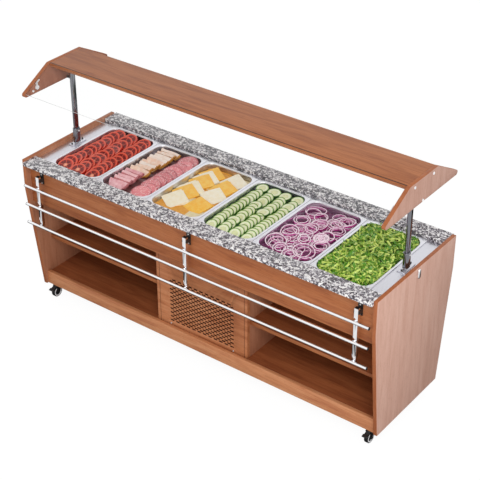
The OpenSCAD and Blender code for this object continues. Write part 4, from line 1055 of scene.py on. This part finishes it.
@dataclass
class Posts:
    """The hood's two chrome posts, their sockets on the deck and the bosses outside."""

    ease: float = 0.7 * MM
    post_ease: float = 0.3 * MM
    dome: float = 4 * MM
    collar: float = 5 * MM
    flange: float = 7 * MM
    sharp: float = 34.4

    def build(self) -> None:
        """Builds posts, sockets and bosses."""
        # The posts are chrome darkened as a painted dark reflection.
        rounded("posts", self.post_ease, CHROME_PAINTED_DARK, angle=30)
        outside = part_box("side_panel_right")[1].x + 0.5 * MM
        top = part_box("well_deck")[1].z + self.flange
        bm = eased(copied("post_sockets"), self.dome, 4, self.sharp,
                   lambda point: abs(point.x) > outside + self.collar)
        eased(bm, self.ease, 2, self.sharp, lambda point: abs(point.x) < outside)

        def rule(face: Face) -> int:
            middle = face.calc_center_median()
            if abs(middle.x) > outside:
                return 0
            return 1 if middle.z < top else 2

        # Socket collars above the flange take the chrome darkened as a painted dark reflection.
        remade("post_sockets", painted(bm, rule), CHROME, STAINLESS, CHROME_PAINTED_DARK)


# ---- Tray slide ----


@dataclass
class TraySlide:
    """The tray slide: three chrome tubes on three arms that hang from pivots in brackets."""

    tube_wall: float = 1.5 * MM
    arm_ease: float = 1.6 * MM
    cap_ease: float = 1.0 * MM
    bracket_ease: float = 0.5 * MM
    steps: int = 40

    def tubes(self) -> None:
        """Spins the three tubes, hollow as they are."""
        bm = bmesh.new()
        for low, high in solids("tray_rails"):
            middle, radius = (low + high) / 2, (high.z - low.z) / 2
            half, bore = (high.x - low.x) / 2, radius - self.tube_wall
            add_spun(bm, [(bore, -half), (radius, -half), (radius, half), (bore, half)],
                     middle, Axis.X, self.steps)
        remade("tray_rails", bm, CHROME, sharp=40)

    def build(self) -> None:
        """Builds the tray slide and its brackets."""
        self.tubes()
        rounded("tray_arms", self.arm_ease, CHROME, 3, 60)
        rounded("tray_caps", self.cap_ease, BLACK_PLASTIC, 3, 60)
        rounded("tray_brackets", self.bracket_ease, BLACKED_STEEL, 2, 60)


# ---- Casters ----


@dataclass
class Caster:
    """A swivel caster: pressed fork, wheel with a grey hub in a rubber tyre, and a pedal."""

    place: str
    tyre_depth: float = 4.5 * MM
    band: float = 5 * MM
    shoulder: float = 3 * MM
    dish: float = 3 * MM
    boss: float = 9 * MM
    bore: float = 4.1 * MM
    steps: int = 56

    def wheel(self) -> None:
        """Spins the wheel: tyre, hub ring, dished web and bearing boss."""
        node = "caster_wheel_" + self.place
        low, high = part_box(node)
        middle, radius, half = (low + high) / 2, (high.z - low.z) / 2, (high.x - low.x) / 2
        ring, soft = radius - self.tyre_depth, self.shoulder
        curve = [(radius - soft * (1 - math.cos(a)), half - soft * (1 - math.sin(a)))
                 for a in (math.radians(10 * i) for i in range(10))]
        tyre = [(ring, half - 0.4 * MM), *[(r, x) for r, x in curve[::-1]],
                *[(r, -x) for r, x in curve], (ring, -half + 0.4 * MM)]
        web = half - self.dish
        hub = [(self.bore, half - 0.5 * MM), (self.boss, half - 0.5 * MM), (self.boss + MM, web),
               (ring - self.band - MM, web), (ring - self.band, half), (ring - 0.8 * MM, half),
               (ring - 0.1 * MM, half - 0.6 * MM)]
        hub += [(r, -x) for r, x in hub[::-1]]
        bm = bmesh.new()
        add_spun(bm, tyre, middle, Axis.X, self.steps)
        add_spun(bm, hub, middle, Axis.X, self.steps)

        def rule(face: Face) -> int:
            reach = [math.hypot(v.co.y - middle.y, v.co.z - middle.z) for v in face.verts]
            if max(reach) > ring - 0.05 * MM:
                return 0
            return 1 if min(reach) > ring - self.band - 1.2 * MM else 2

        remade(node, painted(bm, rule), TYRE, HUB_PLASTIC, BLACK_PLASTIC)

    def build(self) -> None:
        """Builds the caster's wheel and fork, and its pedal if it has one."""
        self.wheel()
        rounded("caster_fork_" + self.place, 0.5 * MM, BLACK_STEEL)
        side, _, end = self.place.partition("_")
        if side == "front":
            rounded("brake_pedal_" + end, 0.8 * MM, BLACK_PLASTIC)


# ---- Machine bay, controls and screws ----


@dataclass
class Machinery:
    """The cooling machine behind the grille."""

    seam: float = 3 * MM
    seam_height: float = 95 * MM
    bead: float = 2 * MM

    def build(self) -> None:
        """Dresses the machine and adds the welded seam round the compressor."""
        rounded("compressor", 1 * MM, BLACK_ENAMEL)
        low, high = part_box("compressor")
        radius = (high.x - low.x) / 2
        bm = bmesh.new()
        add_spun(bm, [(radius - MM, -self.seam), (radius + self.bead, -self.seam / 2),
                      (radius + self.bead, self.seam / 2), (radius - MM, self.seam)],
                 ((low.x + high.x) / 2, (low.y + high.y) / 2, low.z + self.seam_height),
                 Axis.Z)
        finished("compressor_seam", bm, (BLACK_ENAMEL,), "compressor")
        dress("condenser", ALUMINIUM)
        dress("fan_blades", ALUMINIUM)
        rounded("fan_motor", 1.2 * MM, BLACK_ENAMEL)


@dataclass
class Controls:
    """The control plate on the rear fascia, with its thermostat knob and rocker switch."""

    ridges: int = 20
    ridge: float = 0.9 * MM
    inset: float = 4 * MM
    grip: tuple[float, float] = (11 * MM, 1 * MM)

    def knob(self) -> None:
        """Remakes the knob with a ribbed grip."""
        bm = eased(copied("thermostat_knob"), 0.8 * MM, 2, 50)
        low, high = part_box("thermostat_knob")
        x, z = (low.x + high.x) / 2, (low.z + high.z) / 2
        radius = (high.x - low.x) / 2 - self.inset
        for number in range(self.ridges):
            angle = math.tau * number / self.ridges
            start, end = (Vector((x + radius * math.cos(angle), high.y - depth,
                                  z + radius * math.sin(angle))) for depth in self.grip)
            add_rod(bm, start, end, self.ridge, 8)
        remade("thermostat_knob", bm, BLACK_PLASTIC)

    def build(self) -> None:
        """Builds the plate, knob and switch."""
        rounded("control_plate", 0.4 * MM, BLACK_PLASTIC)
        self.knob()
        rounded("rocker_switch", 0.7 * MM, BLACK_PLASTIC, angle=20)


@dataclass
class Screws:
    """All the screw heads: capped white on the gables, black on the post flanges, and nickel
    elsewhere."""

    dome: float = 0.9 * MM
    recess: float = 1.6 * MM
    flange: float = 20 * MM

    def build(self) -> None:
        """Rounds the heads and sinks a recess into each."""
        bm = copied("screws")
        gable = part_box("gable_right")[1].x - MM
        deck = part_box("well_deck")[1].z
        caps = [f for f in bm.faces if len(f.verts) > 10]
        bmesh.ops.inset_individual(bm, faces=caps, thickness=self.recess)
        bmesh.ops.inset_individual(bm, faces=caps, thickness=0.2 * MM, depth=-0.6 * MM)
        eased(bm, self.dome, 3, 70)

        def rule(face: Face) -> int:
            middle = face.calc_center_median()
            if abs(middle.x) > gable:
                return 1
            return 2 if deck < middle.z < deck + self.flange else 0

        remade("screws", painted(bm, rule), NICKEL, WHITE_PLASTIC, BLACK_STEEL)


# ---- Food ----


class Food:
    """Loose food in one pan: its bed, and the pieces that lie on it. The mesh carries a UV map
    for the cut faces and a tone for each piece."""

    BED_HEIGHT = 68 * MM
    HALF_BOWL = (145.5 * MM, 247 * MM)
    BOWL_CORNER = 56 * MM
    SEED = 40

    def __init__(self, pan: int, node: str, finishes: Sequence[Finish]) -> None:
        """Starts an empty heap.

        Args:
            pan: The pan's number.
            node: The CAD node that the heap stands for.
            finishes: The finishes; the first is the bed's.
        """
        low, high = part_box(f"pan_{pan}")
        self.node = node
        self.middle = (low + high) / 2
        self.rim = high.z
        self.bed = low.z + self.BED_HEIGHT
        self.finishes = finishes
        self.dice = random.Random(self.SEED + pan)
        self.heap = bmesh.new()
        self.bm = self.heap
        self.start()
        self.heap.loops.layers.uv.new("slice")
        self.heap.faces.layers.float.new("tone")

    def start(self) -> None:
        """Starts a new piece, apart from the heap."""
        self.bm = bmesh.new()
        self.uv = self.bm.loops.layers.uv.new("slice")
        self.tone = self.bm.faces.layers.float.new("tone")

    def stow(self) -> None:
        """Puts what was made last on the heap. Small meshes keep each operator quick."""
        part = bpy.data.meshes.new("part")
        self.bm.to_mesh(part)
        self.bm.free()
        self.heap.from_mesh(part)
        bpy.data.meshes.remove(part)
        self.start()

    def place(self, u: float, v: float, height: float, tilt: float = 0.0, turn: float = 0.0,
              lean: float = 0.0) -> Matrix:
        """Returns the matrix of a piece.

        Args:
            u: Its place along the bar, from the pan's middle, in millimetres.
            v: Its place across the bar, from the pan's middle, in millimetres.
            height: Its height above the bed, in millimetres.
            tilt: How far its rear is raised, in degrees.
            turn: How far it is turned on itself, in degrees.
            lean: How far its left side is raised, in degrees.

        Returns:
            The matrix, in metres.
        """
        at = Vector((self.middle.x + u * MM, self.middle.y + v * MM, self.bed + height * MM))
        return (Matrix.Translation(at) @ Matrix.Rotation(math.radians(tilt), 4, "X")
                @ Matrix.Rotation(math.radians(lean), 4, "Y")
                @ Matrix.Rotation(math.radians(turn), 4, "Z"))

    def near(self, value: float, spread: float) -> float:
        """Returns a value with a random difference of up to the spread."""
        return value + self.dice.uniform(-spread, spread)

    def mark(self, verts: Sequence[Vert], radius: float, rule: Callable[[Face], Finish]) -> None:
        """Gives a piece, still about the origin, its UV map, tone and finishes.

        Args:
            verts: The piece's vertices.
            radius: Half its width.
            rule: Which finish a face gets.
        """
        tone = self.dice.random()
        for face in faces_of(verts):
            face.normal_update()
            face.material_index = self.finishes.index(rule(face))
            face[self.tone] = tone
            for loop in face.loops:
                point = loop.vert.co
                loop[self.uv].uv = (0.5 + point.x / radius / 2, 0.5 + point.y / radius / 2)

    def settle(self, verts: Sequence[Vert], place: Matrix) -> None:
        """Moves a piece to its place, and keeps it inside the pan's walls."""
        bmesh.ops.transform(self.bm, matrix=place, verts=list(verts))
        half, corner = self.HALF_BOWL, self.BOWL_CORNER
        for vert in verts:
            offset = vert.co.xy - self.middle.xy
            over = Vector([abs(offset[i]) - (half[i] - corner) for i in (0, 1)])
            if min(over) > 0 and over.length > corner:
                over = over.normalized() * corner
            for i in (0, 1):
                limit = min(over[i], corner) + half[i] - corner
                vert.co[i] = self.middle[i] + math.copysign(min(abs(offset[i]), limit), offset[i])

    def bedding(self, top: float) -> None:
        """Adds the bed, a rounded block from the pan's floor up to a height above the CAD bed."""
        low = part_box(self.node)[0].z
        rings = [(262 * MM, 465 * MM, 40 * MM, low + 1 * MM),
                 (282 * MM, 485 * MM, 50 * MM, low + 8 * MM),
                 (288 * MM, 491 * MM, 53 * MM, low + 30 * MM),
                 (293 * MM, 496 * MM, 55 * MM, self.bed + (top - 4) * MM),
                 (291 * MM, 494 * MM, 54 * MM, self.bed + top * MM)]
        # The bed's dark finish is painted shade beneath the pieces.
        verts = add_loft(self.bm, (*self.middle.xy, 0), rings, 6)
        bmesh.ops.contextual_create(self.bm, geom=[e for e in self.bm.edges if e.is_boundary])
        for face in faces_of(verts):
            face[self.tone] = 0.5

    def disc(self, place: Matrix, radius: float, thick: float, face: Finish, side: Finish,
             wobble: float = 0.03, droop: float = 0.0, wave: float = 0.0, rings: int = 0,
             steps: int = 28) -> None:
        """Adds a round slice.

        Args:
            place: Its place.
            radius: Its radius in millimetres.
            thick: Its thickness in millimetres.
            face: The finish of its cut faces.
            side: The finish of its edge.
            wobble: How far its outline is out of round, as a share.
            droop: How far its edge hangs down, in millimetres.
            wave: How far it is rolled to a wave, in millimetres.
            rings: Loops of faces within its cut faces, for a slice that bends.
            steps: The number of its sides.
        """
        radius, thick = radius * MM, thick * MM
        made = bmesh.ops.create_cone(self.bm, cap_ends=True, segments=steps, radius1=radius,
                                     radius2=radius * 0.985, depth=thick)["verts"]
        caps = [f for f in faces_of(made) if len(f.verts) == steps]
        for _ in range(rings):
            bmesh.ops.inset_individual(self.bm, faces=caps, thickness=radius / (rings + 1.3))
        verts = connected(made[0])
        self.mark(verts, radius, lambda f: face if abs(f.normal.z) > 0.8 else side)
        first, second = self.dice.uniform(0, math.tau), self.dice.uniform(0, math.tau)
        for vert in verts:
            x, y, _ = vert.co
            angle, share = math.atan2(y, x), math.hypot(x, y) / radius
            grow = (1 + wobble * math.sin(2 * angle + first)
                    + wobble / 2 * math.sin(5 * angle + second))
            vert.co.x, vert.co.y = x * grow, y * grow
            vert.co.z -= droop * MM * share * share
            vert.co.z += wave * MM * math.sin(2.2 * x / radius + first) * share
        self.settle(verts, place)

    def done(self, sharp: float = 40.0) -> None:
        """Turns the heap into a piece that rides on its pan."""
        self.stow()
        self.bm.free()
        finished("fresh_" + self.node, self.heap, self.finishes, self.node, (self.node,), sharp)


class TomatoSlices(Food):
    """Three rows of thick tomato slices, each leaning on the one behind it."""

    PITCH = 37.0

    def build(self) -> None:
        """Builds the rows from the rear to the front."""
        self.bedding(0)
        for column, u in enumerate((-94, -4, 88)):
            for number in range(12):
                v = 203 - number * self.PITCH + self.near(0, 3)
                lying = column == 1 and number in (4, 7)
                tilt = self.near(6, 3) if lying else self.near(24, 4)
                height = 14 if lying else 10.5 + self.near(0, 1)
                self.disc(self.place(self.near(u, 6), v, height, tilt, self.near(0, 180),
                                     self.near(0, 7)),
                          self.near(44, 2), self.near(9.5, 0.8), TOMATO_FACE, TOMATO_SKIN, 0.018)
        self.done()


class SlicedMeats(Food):
    """Folded ham in front and folded turkey behind it, beside a row of salami in pairs."""

    PITCH = 31
    SALAMI_PITCH = 41.5

    def fold(self, place: Matrix, radius: float, roll: float, finish: Finish, edge: Finish,
             shade: Finish, lit: float, thick: float = 2.4) -> None:
        """Adds a thin round slice, folded over at its top, with both leaves hanging down.

        Args:
            place: Its place.
            radius: The flat slice's radius in millimetres.
            roll: The fold's radius in millimetres.
            finish: Its finish.
            edge: The finish of its right edge.
            shade: The finish of its leaf further down, painted shade.
            lit: How far down its front leaf isn't painted shade, in millimetres.
            thick: Its thickness in millimetres.
        """
        made = bmesh.ops.create_grid(self.bm, x_segments=14, y_segments=24, size=1.0)["verts"]
        verts = connected(made[0])
        reach = -(math.pi * roll / 2 + lit) / (radius * 0.95)

        # Faces further down than lit take the painted-shade finish; the right edge takes the edge
        # finish.
        def rule(face: Face) -> Finish:
            middle = face.calc_center_median()
            return edge if middle.x > 0.86 else shade if middle.y < reach else finish

        self.mark(verts, 1.0, rule)
        phase, lift = self.dice.uniform(0, math.tau), self.dice.uniform(1.5, 3.5)
        bend = math.pi * roll / 2
        for vert in verts:
            along = vert.co.y * radius * 0.95
            x = vert.co.x * math.sqrt(radius ** 2 - along ** 2)
            down = max(0.0, abs(along) - bend)
            angle = max(-math.pi / 2, min(math.pi / 2, along / roll))
            wave = (1.2 + 3 * down / radius) * math.sin(x / 13 + phase)
            vert.co = Vector((x, roll * math.sin(angle) + wave,
                              roll * math.cos(angle) - down + lift * math.sin(x / 17 + phase))) * MM
        bmesh.ops.solidify(self.bm, geom=faces_of(verts), thickness=thick * MM)
        self.settle(connected(verts[0]), place)
        self.stow()

    def build(self) -> None:
        """Builds folds and slices from the rear to the front."""
        self.bedding(-3)
        for start, across, count in ((228, -62, 5), (84, -72, 4)):
            for number in range(count):
                self.fold(self.place(self.near(across, 5),
                                     start - self.PITCH * number + self.near(0, 3),
                                     self.near(20, 2), self.near(-58, 5), self.near(0, 7)),
                          self.near(62, 3), 4.6, TURKEY, TURKEY_EDGE, TURKEY_SHADE,
                          15 if number < count - 1 else 40)
        # The ham's lower leaves take the rind finish as painted shade.
        for number in range(5):
            self.fold(self.place(self.near(-75, 4), -48 - self.PITCH * number + self.near(0, 3),
                                 self.near(20, 2), self.near(-58, 5), self.near(0, 7)),
                      self.near(60, 3), 4.8, HAM, HAM_RIND_AND_SHADE, HAM_RIND_AND_SHADE, 11 if number < 4 else 52)
        for number in range(10):
            v = 186 - self.SALAMI_PITCH * number
            self.disc(self.place(self.near(81, 6), v + self.near(0, 5),
                                 14 + 3.5 * (number % 2), self.near(13, 3), 0, self.near(0, 4)),
                      57, 2.6, SALAMI_FACE, SALAMI_EDGE, 0.02, 4, 2.0, 3, 36)
        self.done()


class CheeseSquares(Food):
    """Stacks of thin square slices, orange or pale, in two columns on a layer of loose ones."""

    THICK = 2.7 * MM

    def plate(self, place: Matrix, side: float, finish: Finish, droop: float) -> None:
        """Adds one thin square slice, its corners hanging down by droop, in millimetres."""
        half = side / 2 * MM
        made = bmesh.ops.create_grid(self.bm, x_segments=6, y_segments=6, size=half)["verts"]
        verts = connected(made[0])
        self.mark(verts, half, lambda f: finish)
        bmesh.ops.solidify(self.bm, geom=faces_of(verts), thickness=self.THICK)
        verts = connected(verts[0])
        for vert in verts:
            share = (vert.co.x ** 2 + vert.co.y ** 2) / half ** 2
            vert.co.z -= droop * MM * share
        self.settle(verts, place)

    def build(self) -> None:
        """Builds the stacks from the rear to the front."""
        self.bedding(-6)
        for u, v in ((-82, 188), (0, 190), (82, 186), (-84, 86), (2, 100), (84, 76), (-84, -10),
                     (0, -4), (84, -30), (-84, -110), (0, -104), (84, -124), (-82, -184),
                     (0, -188), (82, -184)):
            # Under-layer slices take the cheeses darkened as painted shade.
            finish = self.dice.choice((CHEDDAR_PAINTED_SHADE, PALE_CHEESE_PAINTED_SHADE, PALE_CHEESE_PAINTED_SHADE))
            for layer in range(2):
                self.plate(self.place(self.near(u, 3), self.near(v, 3), -1 + 3 * layer,
                                      self.near(1, 1), self.near(-4, 8), self.near(0, 1)),
                           self.near(106, 2), finish, self.near(0.8, 0.4))
        left = [(-72, 166, -30, CHEDDAR), (-72, 118, -34, PALE_CHEESE), (-70, 80, -36, CHEDDAR),
                (-72, -2, -32, PALE_CHEESE), (-72, -48, -30, CHEDDAR),
                (-70, -128, -34, PALE_CHEESE)]
        right = [(68, 170, -28, PALE_CHEESE), (66, 88, -27, CHEDDAR), (66, 4, -30, PALE_CHEESE),
                 (62, -112, -14, CHEDDAR)]
        for u, v, turn, finish in left + right:
            count = self.dice.choice((3, 4))
            tilt = self.near(11, 2)
            for layer in range(count):
                self.plate(self.place(self.near(u, 3), self.near(v, 3) - 2 * layer,
                                      7.5 + layer * 3.1, tilt, self.near(turn, 5),
                                      self.near(0, 2)),
                           self.near(109, 1), finish, self.near(1.8, 0.7))
        self.done(30)


class CucumberSlices(Food):
    """Four rows of cucumber slices in tight shingles, with a few that lie flat."""

    PITCH = 26.5

    def build(self) -> None:
        """Builds the rows from the rear to the front."""
        self.bedding(-2)
        columns = (-107, -36, 35, 106)
        lying = [(0, 207), (1, 207), (2, 207), (3, 207), (1, -125), (1, 51), (2, 18), (3, 128)]
        for column, u in enumerate(columns):
            for number in range(16):
                v = 186 - number * self.PITCH + self.near(0, 3)
                if any(c == column and -24 < v - at < 30 for c, at in lying):
                    continue
                self.disc(self.place(self.near(u, 3), v, 8 + self.near(0, 1), self.near(26, 4),
                                     self.near(0, 180), self.near(0, 6)),
                          self.near(33, 1.2), self.near(5.4, 0.6), CUCUMBER_FACE,
                          CUCUMBER_PEEL, 0.02, steps=24)
        for column, v in lying:
            self.disc(self.place(self.near(columns[column], 3), v, 16, self.near(6, 3),
                                 self.near(0, 180), self.near(0, 4)),
                      self.near(35, 1), 6.5, CUCUMBER_FACE, CUCUMBER_PEEL, 0.02, steps=24)
        self.done()


class OnionRings(Food):
    """A loose heap of red onion rings, with one whole slice in it."""

    def loop(self, place: Matrix, radius: float, wall: float, height: float) -> None:
        """Adds one ring: purple outside, paler inside, white where it is cut.

        Args:
            place: Its place.
            radius: Its outer radius in millimetres.
            wall: Its wall in millimetres.
            height: Its height in millimetres.
        """
        r, w, h, e = radius * MM, wall * MM, height / 2 * MM, 0.7 * MM
        made = add_spun(self.bm, [(r - w, e - h), (r - w + e, -h), (r - e, -h), (r, e - h),
                                  (r, h - e), (r - e, h), (r - w + e, h), (r - w, h - e)],
                        (0, 0, 0), Axis.Z, 30)
        verts = connected(made[0])

        def rule(face: Face) -> Finish:
            if abs(face.normal.z) > 0.5:
                return ONION_FACE
            outward = face.normal.dot(face.calc_center_median()) > 0
            return ONION_SKIN if outward else ONION_INSIDE

        self.mark(verts, r, rule)
        first, oval = self.dice.uniform(0, math.tau), self.near(0.05, 0.05)
        for vert in verts:
            angle = math.atan2(vert.co.y, vert.co.x)
            grow = 1 + oval * math.sin(2 * angle + first)
            vert.co.x, vert.co.y = vert.co.x * grow, vert.co.y * grow
            vert.co.z += 1.2 * MM * math.sin(2 * angle + 2 * first)
        self.settle(verts, place)
        self.stow()

    def build(self) -> None:
        """Builds a loose layer below, then the rings that lie on it."""
        self.bedding(-8)
        for _ in range(56):
            self.loop(self.place(self.near(0, 108), self.near(0, 206), self.near(0, 4),
                                 self.near(0, 14), 0, self.near(0, 14)),
                      self.near(35, 10), self.near(4.6, 0.6), self.near(9, 1.5))
        over = [(-97, 190, 48), (-40, 150, 36), (30, 205, 34), (76, 188, 46), (-105, 82, 41),
                (-8, 92, 40), (92, 92, 39), (-24, 36, 42), (78, 30, 34), (-92, -40, 46),
                (-46, -70, 33), (4, -58, 32), (100, -62, 40), (-94, -150, 48), (64, -148, 52),
                (-40, -190, 36), (112, -206, 30), (20, -205, 34), (56, 140, 38), (-64, 8, 37)]
        for u, v, radius in over:
            self.loop(self.place(u, v, self.near(10, 3), self.near(4, 9), 0, self.near(0, 9)),
                      radius * 1.06, self.near(5.0, 0.5), self.near(11.5, 1.2))
            if self.dice.random() < 0.6:
                self.loop(self.place(u + self.near(0, 3), v + self.near(0, 3), 11,
                                     self.near(4, 6), 0, self.near(0, 6)),
                          radius * 0.76, self.near(4.6, 0.5), self.near(10, 1))
        place = self.place(70, -12, 16, self.near(6, 4), 0, self.near(0, 5))
        for share in (1.0, 0.83, 0.66, 0.49, 0.32, 0.17):
            self.loop(place, 40 * share, 6.4, 9)
        self.done()


class ShreddedLettuce(Food):
    """A heap of finely cut lettuce, level with the rim and domed in the middle."""

    COUNT = 1500
    BATCH = 25

    def shred(self, place: Matrix, length: float, width: float) -> None:
        """Adds one curled shred."""
        made = bmesh.ops.create_grid(self.bm, x_segments=6, y_segments=1, size=1.0)["verts"]
        verts = connected(made[0])
        self.mark(verts, 1.0, lambda f: LETTUCE)
        curl, twist = self.near(0, 1.1), self.near(0, 1.5)
        rise, phase = self.dice.uniform(1, 5), self.dice.uniform(0, math.tau)
        for vert in verts:
            along, side = vert.co.x, vert.co.y * width / 2
            angle = twist * along
            vert.co = Vector((along * length / 2,
                              curl * along * along * length / 4 + side * math.cos(angle),
                              rise * math.sin(3 * along + phase) + side * math.sin(angle))) * MM
        self.settle(verts, place)

    def build(self) -> None:
        """Builds the heap."""
        self.bedding(16)
        for number in range(self.COUNT):
            u, v = self.near(0, 142), self.near(0, 243)
            edge = min((147 - abs(u)) / 60, (249 - abs(v)) / 70, 1.0)
            top = 22 + 19 * math.sin(max(0.0, edge) * math.pi / 2) + 6 * noise.noise(
                Vector((u / 32, v / 32, 0.3)))
            self.shred(self.place(u, v, top - self.dice.random() * 12, self.near(0, 34),
                                  self.near(0, 180), self.near(0, 34)),
                       self.dice.uniform(30, 70), self.dice.uniform(6, 11))
            if number % self.BATCH == self.BATCH - 1:
                self.stow()
        self.done(60)


# ---- Stage ----


@dataclass
class Stage:
    """A white studio: a wide floor, a soft lamp and a camera at the photograph's place."""

    floor_size: float = 60.0
    sky: float = 0.66
    white: float = 1.05
    key_power: float = 192.0
    key_size: float = 4.0
    key_place: tuple[float, float, float] = (3.7, -3.9, 4.7)
    shadow: float = 0.10
    eye: tuple[float, float, float] = (3.4085, -4.4071 + CABINET_Y, 4.1238)
    heading: float = 37.14
    dip: float = 32.12
    roll: float = -0.13
    lens: float = 98.02
    sensor: float = 36.0

    def floor(self) -> None:
        """Adds the floor, white to the camera with a faint soft shadow. To glossy rays it glows as
        a painted reflection: white where it lies open, and dark near the bar and behind it."""
        material = bpy.data.materials.new("white studio floor")
        material.use_nodes = True
        tree = material.node_tree
        tree.nodes.clear()
        place = add_node(tree, "TexCoord").outputs["Object"]
        tone = ranged(tree, clouds(tree, place, 0.4), 0.0, 1.0, 0.90, 0.93)
        matt = add_node(tree, "BsdfDiffuse", {}, {"Color": tone})
        plain = add_node(tree, "Emission", {}, {"Color": (1, 1, 1, 1), "Strength": self.white})
        ray = add_node(tree, "LightPath").outputs
        sides = add_node(tree, "SeparateXYZ", {}, {0: place}).outputs
        # Painted reflection: for glossy rays the floor glows white where it lies open, and dark
        # near the bar.
        bright_reflection_area = maths(tree, "MAXIMUM", ranged(tree, sides[0], 1.7, 2.1),
                           ranged(tree, sides[1], -0.8, -1.2))
        level = ranged(tree, bright_reflection_area, 0.0, 1.0, 0.04, 0.85)
        painted_reflection = add_node(tree, "Emission", {}, {"Strength": level})
        part = maths(tree, "MULTIPLY", ray["Is Camera Ray"], 1 - self.shadow)
        mixed = add_node(tree, "MixShader", {}, {0: part, 1: matt, 2: plain})
        shown = add_node(tree, "MixShader", {}, {0: ray["Is Glossy Ray"], 1: mixed, 2: painted_reflection})
        add_node(tree, "OutputMaterial", {}, {0: shown})
        bm = bmesh.new()
        bmesh.ops.create_grid(bm, x_segments=1, y_segments=1, size=self.floor_size / 2)
        mesh = bpy.data.meshes.new("studio_floor")
        bm.to_mesh(mesh)
        bm.free()
        mesh.materials.append(material)
        placed("studio_floor", mesh)

    def world(self) -> None:
        """Makes a white surround, dimmer where it only lights the object."""
        world = bpy.data.worlds.new("studio")
        bpy.context.scene.world = world
        world.use_nodes = True
        tree = world.node_tree
        ray = add_node(tree, "LightPath").outputs
        seen = maths(tree, "MAXIMUM", ray["Is Camera Ray"], ray["Is Glossy Ray"])
        level = ranged(tree, maths(tree, "MAXIMUM", seen, ray["Is Transmission Ray"]),
                       0.0, 1.0, self.sky, 1.0)
        feed(tree, tree.nodes["Background"], {"Color": (1, 1, 1, 1), "Strength": level})

    def lamp(self, name: str, at: Sequence[float], size: float, power: float) -> None:
        """Adds a square soft lamp that points at the bar."""
        light = bpy.data.lights.new(name, "AREA")
        light.size, light.energy = size, power
        made = placed(name, light)
        made.location = at
        aim = Vector((0, 0, 0.6)) - Vector(at)
        made.rotation_euler = aim.to_track_quat("-Z", "Y").to_euler()
        made.visible_camera = False

    def camera(self) -> None:
        """Sets the camera that was fitted to the photograph."""
        data = bpy.data.cameras.new("photo_camera")
        data.lens, data.sensor_width, data.clip_end = self.lens, self.sensor, 200.0
        made = placed("photo_camera", data)
        made.matrix_world = Matrix.Translation(self.eye)
        for degrees, axis in ((self.heading, "Z"), (90 - self.dip, "X"), (self.roll, "Z")):
            made.matrix_world @= Matrix.Rotation(math.radians(degrees), 4, axis)
        bpy.context.scene.camera = made

    def build(self) -> None:
        """Builds the studio."""
        self.floor()
        self.world()
        self.lamp("key", self.key_place, self.key_size, self.key_power)
        self.camera()
        bpy.context.scene.view_settings.view_transform = "Standard"
        bpy.context.scene.view_settings.look = "None"


def main() -> None:
    """Builds every sub-assembly, then the stage."""
    logging.basicConfig(level=logging.INFO, format="%(relativeCreated)d ms %(message)s")
    Carcass().build()
    GraniteLedges().build()
    ColdWell().build()
    for number in range(1, 7):
        FoodPan(number).build()
    Hood().build()
    Posts().build()
    TraySlide().build()
    for place in ("front_left", "front_right", "rear_left", "rear_right"):
        Caster(place).build()
    rounded("caster_plates", 0.5 * MM, BLACK_STEEL)
    Machinery().build()
    Controls().build()
    Screws().build()
    TomatoSlices(1, "tomato_slices", (TOMATO_BED, TOMATO_FACE, TOMATO_SKIN)).build()
    SlicedMeats(2, "sliced_meats", (MEAT_BED, HAM, HAM_RIND_AND_SHADE, TURKEY, TURKEY_EDGE, SALAMI_FACE,
                                    SALAMI_EDGE, TURKEY_SHADE)).build()
    CheeseSquares(3, "cheese_squares", (CHEESE_BED, CHEDDAR, PALE_CHEESE, CHEDDAR_PAINTED_SHADE,
                                        PALE_CHEESE_PAINTED_SHADE)).build()
    CucumberSlices(4, "cucumber_slices", (CUCUMBER_BED, CUCUMBER_FACE, CUCUMBER_PEEL)).build()
    OnionRings(5, "onion_rings", (ONION_BED, ONION_FACE, ONION_SKIN, ONION_INSIDE)).build()
    ShreddedLettuce(6, "shredded_lettuce", (LETTUCE_BED, LETTUCE)).build()
    Stage().build()


if __name__ == "__main__":
    main()
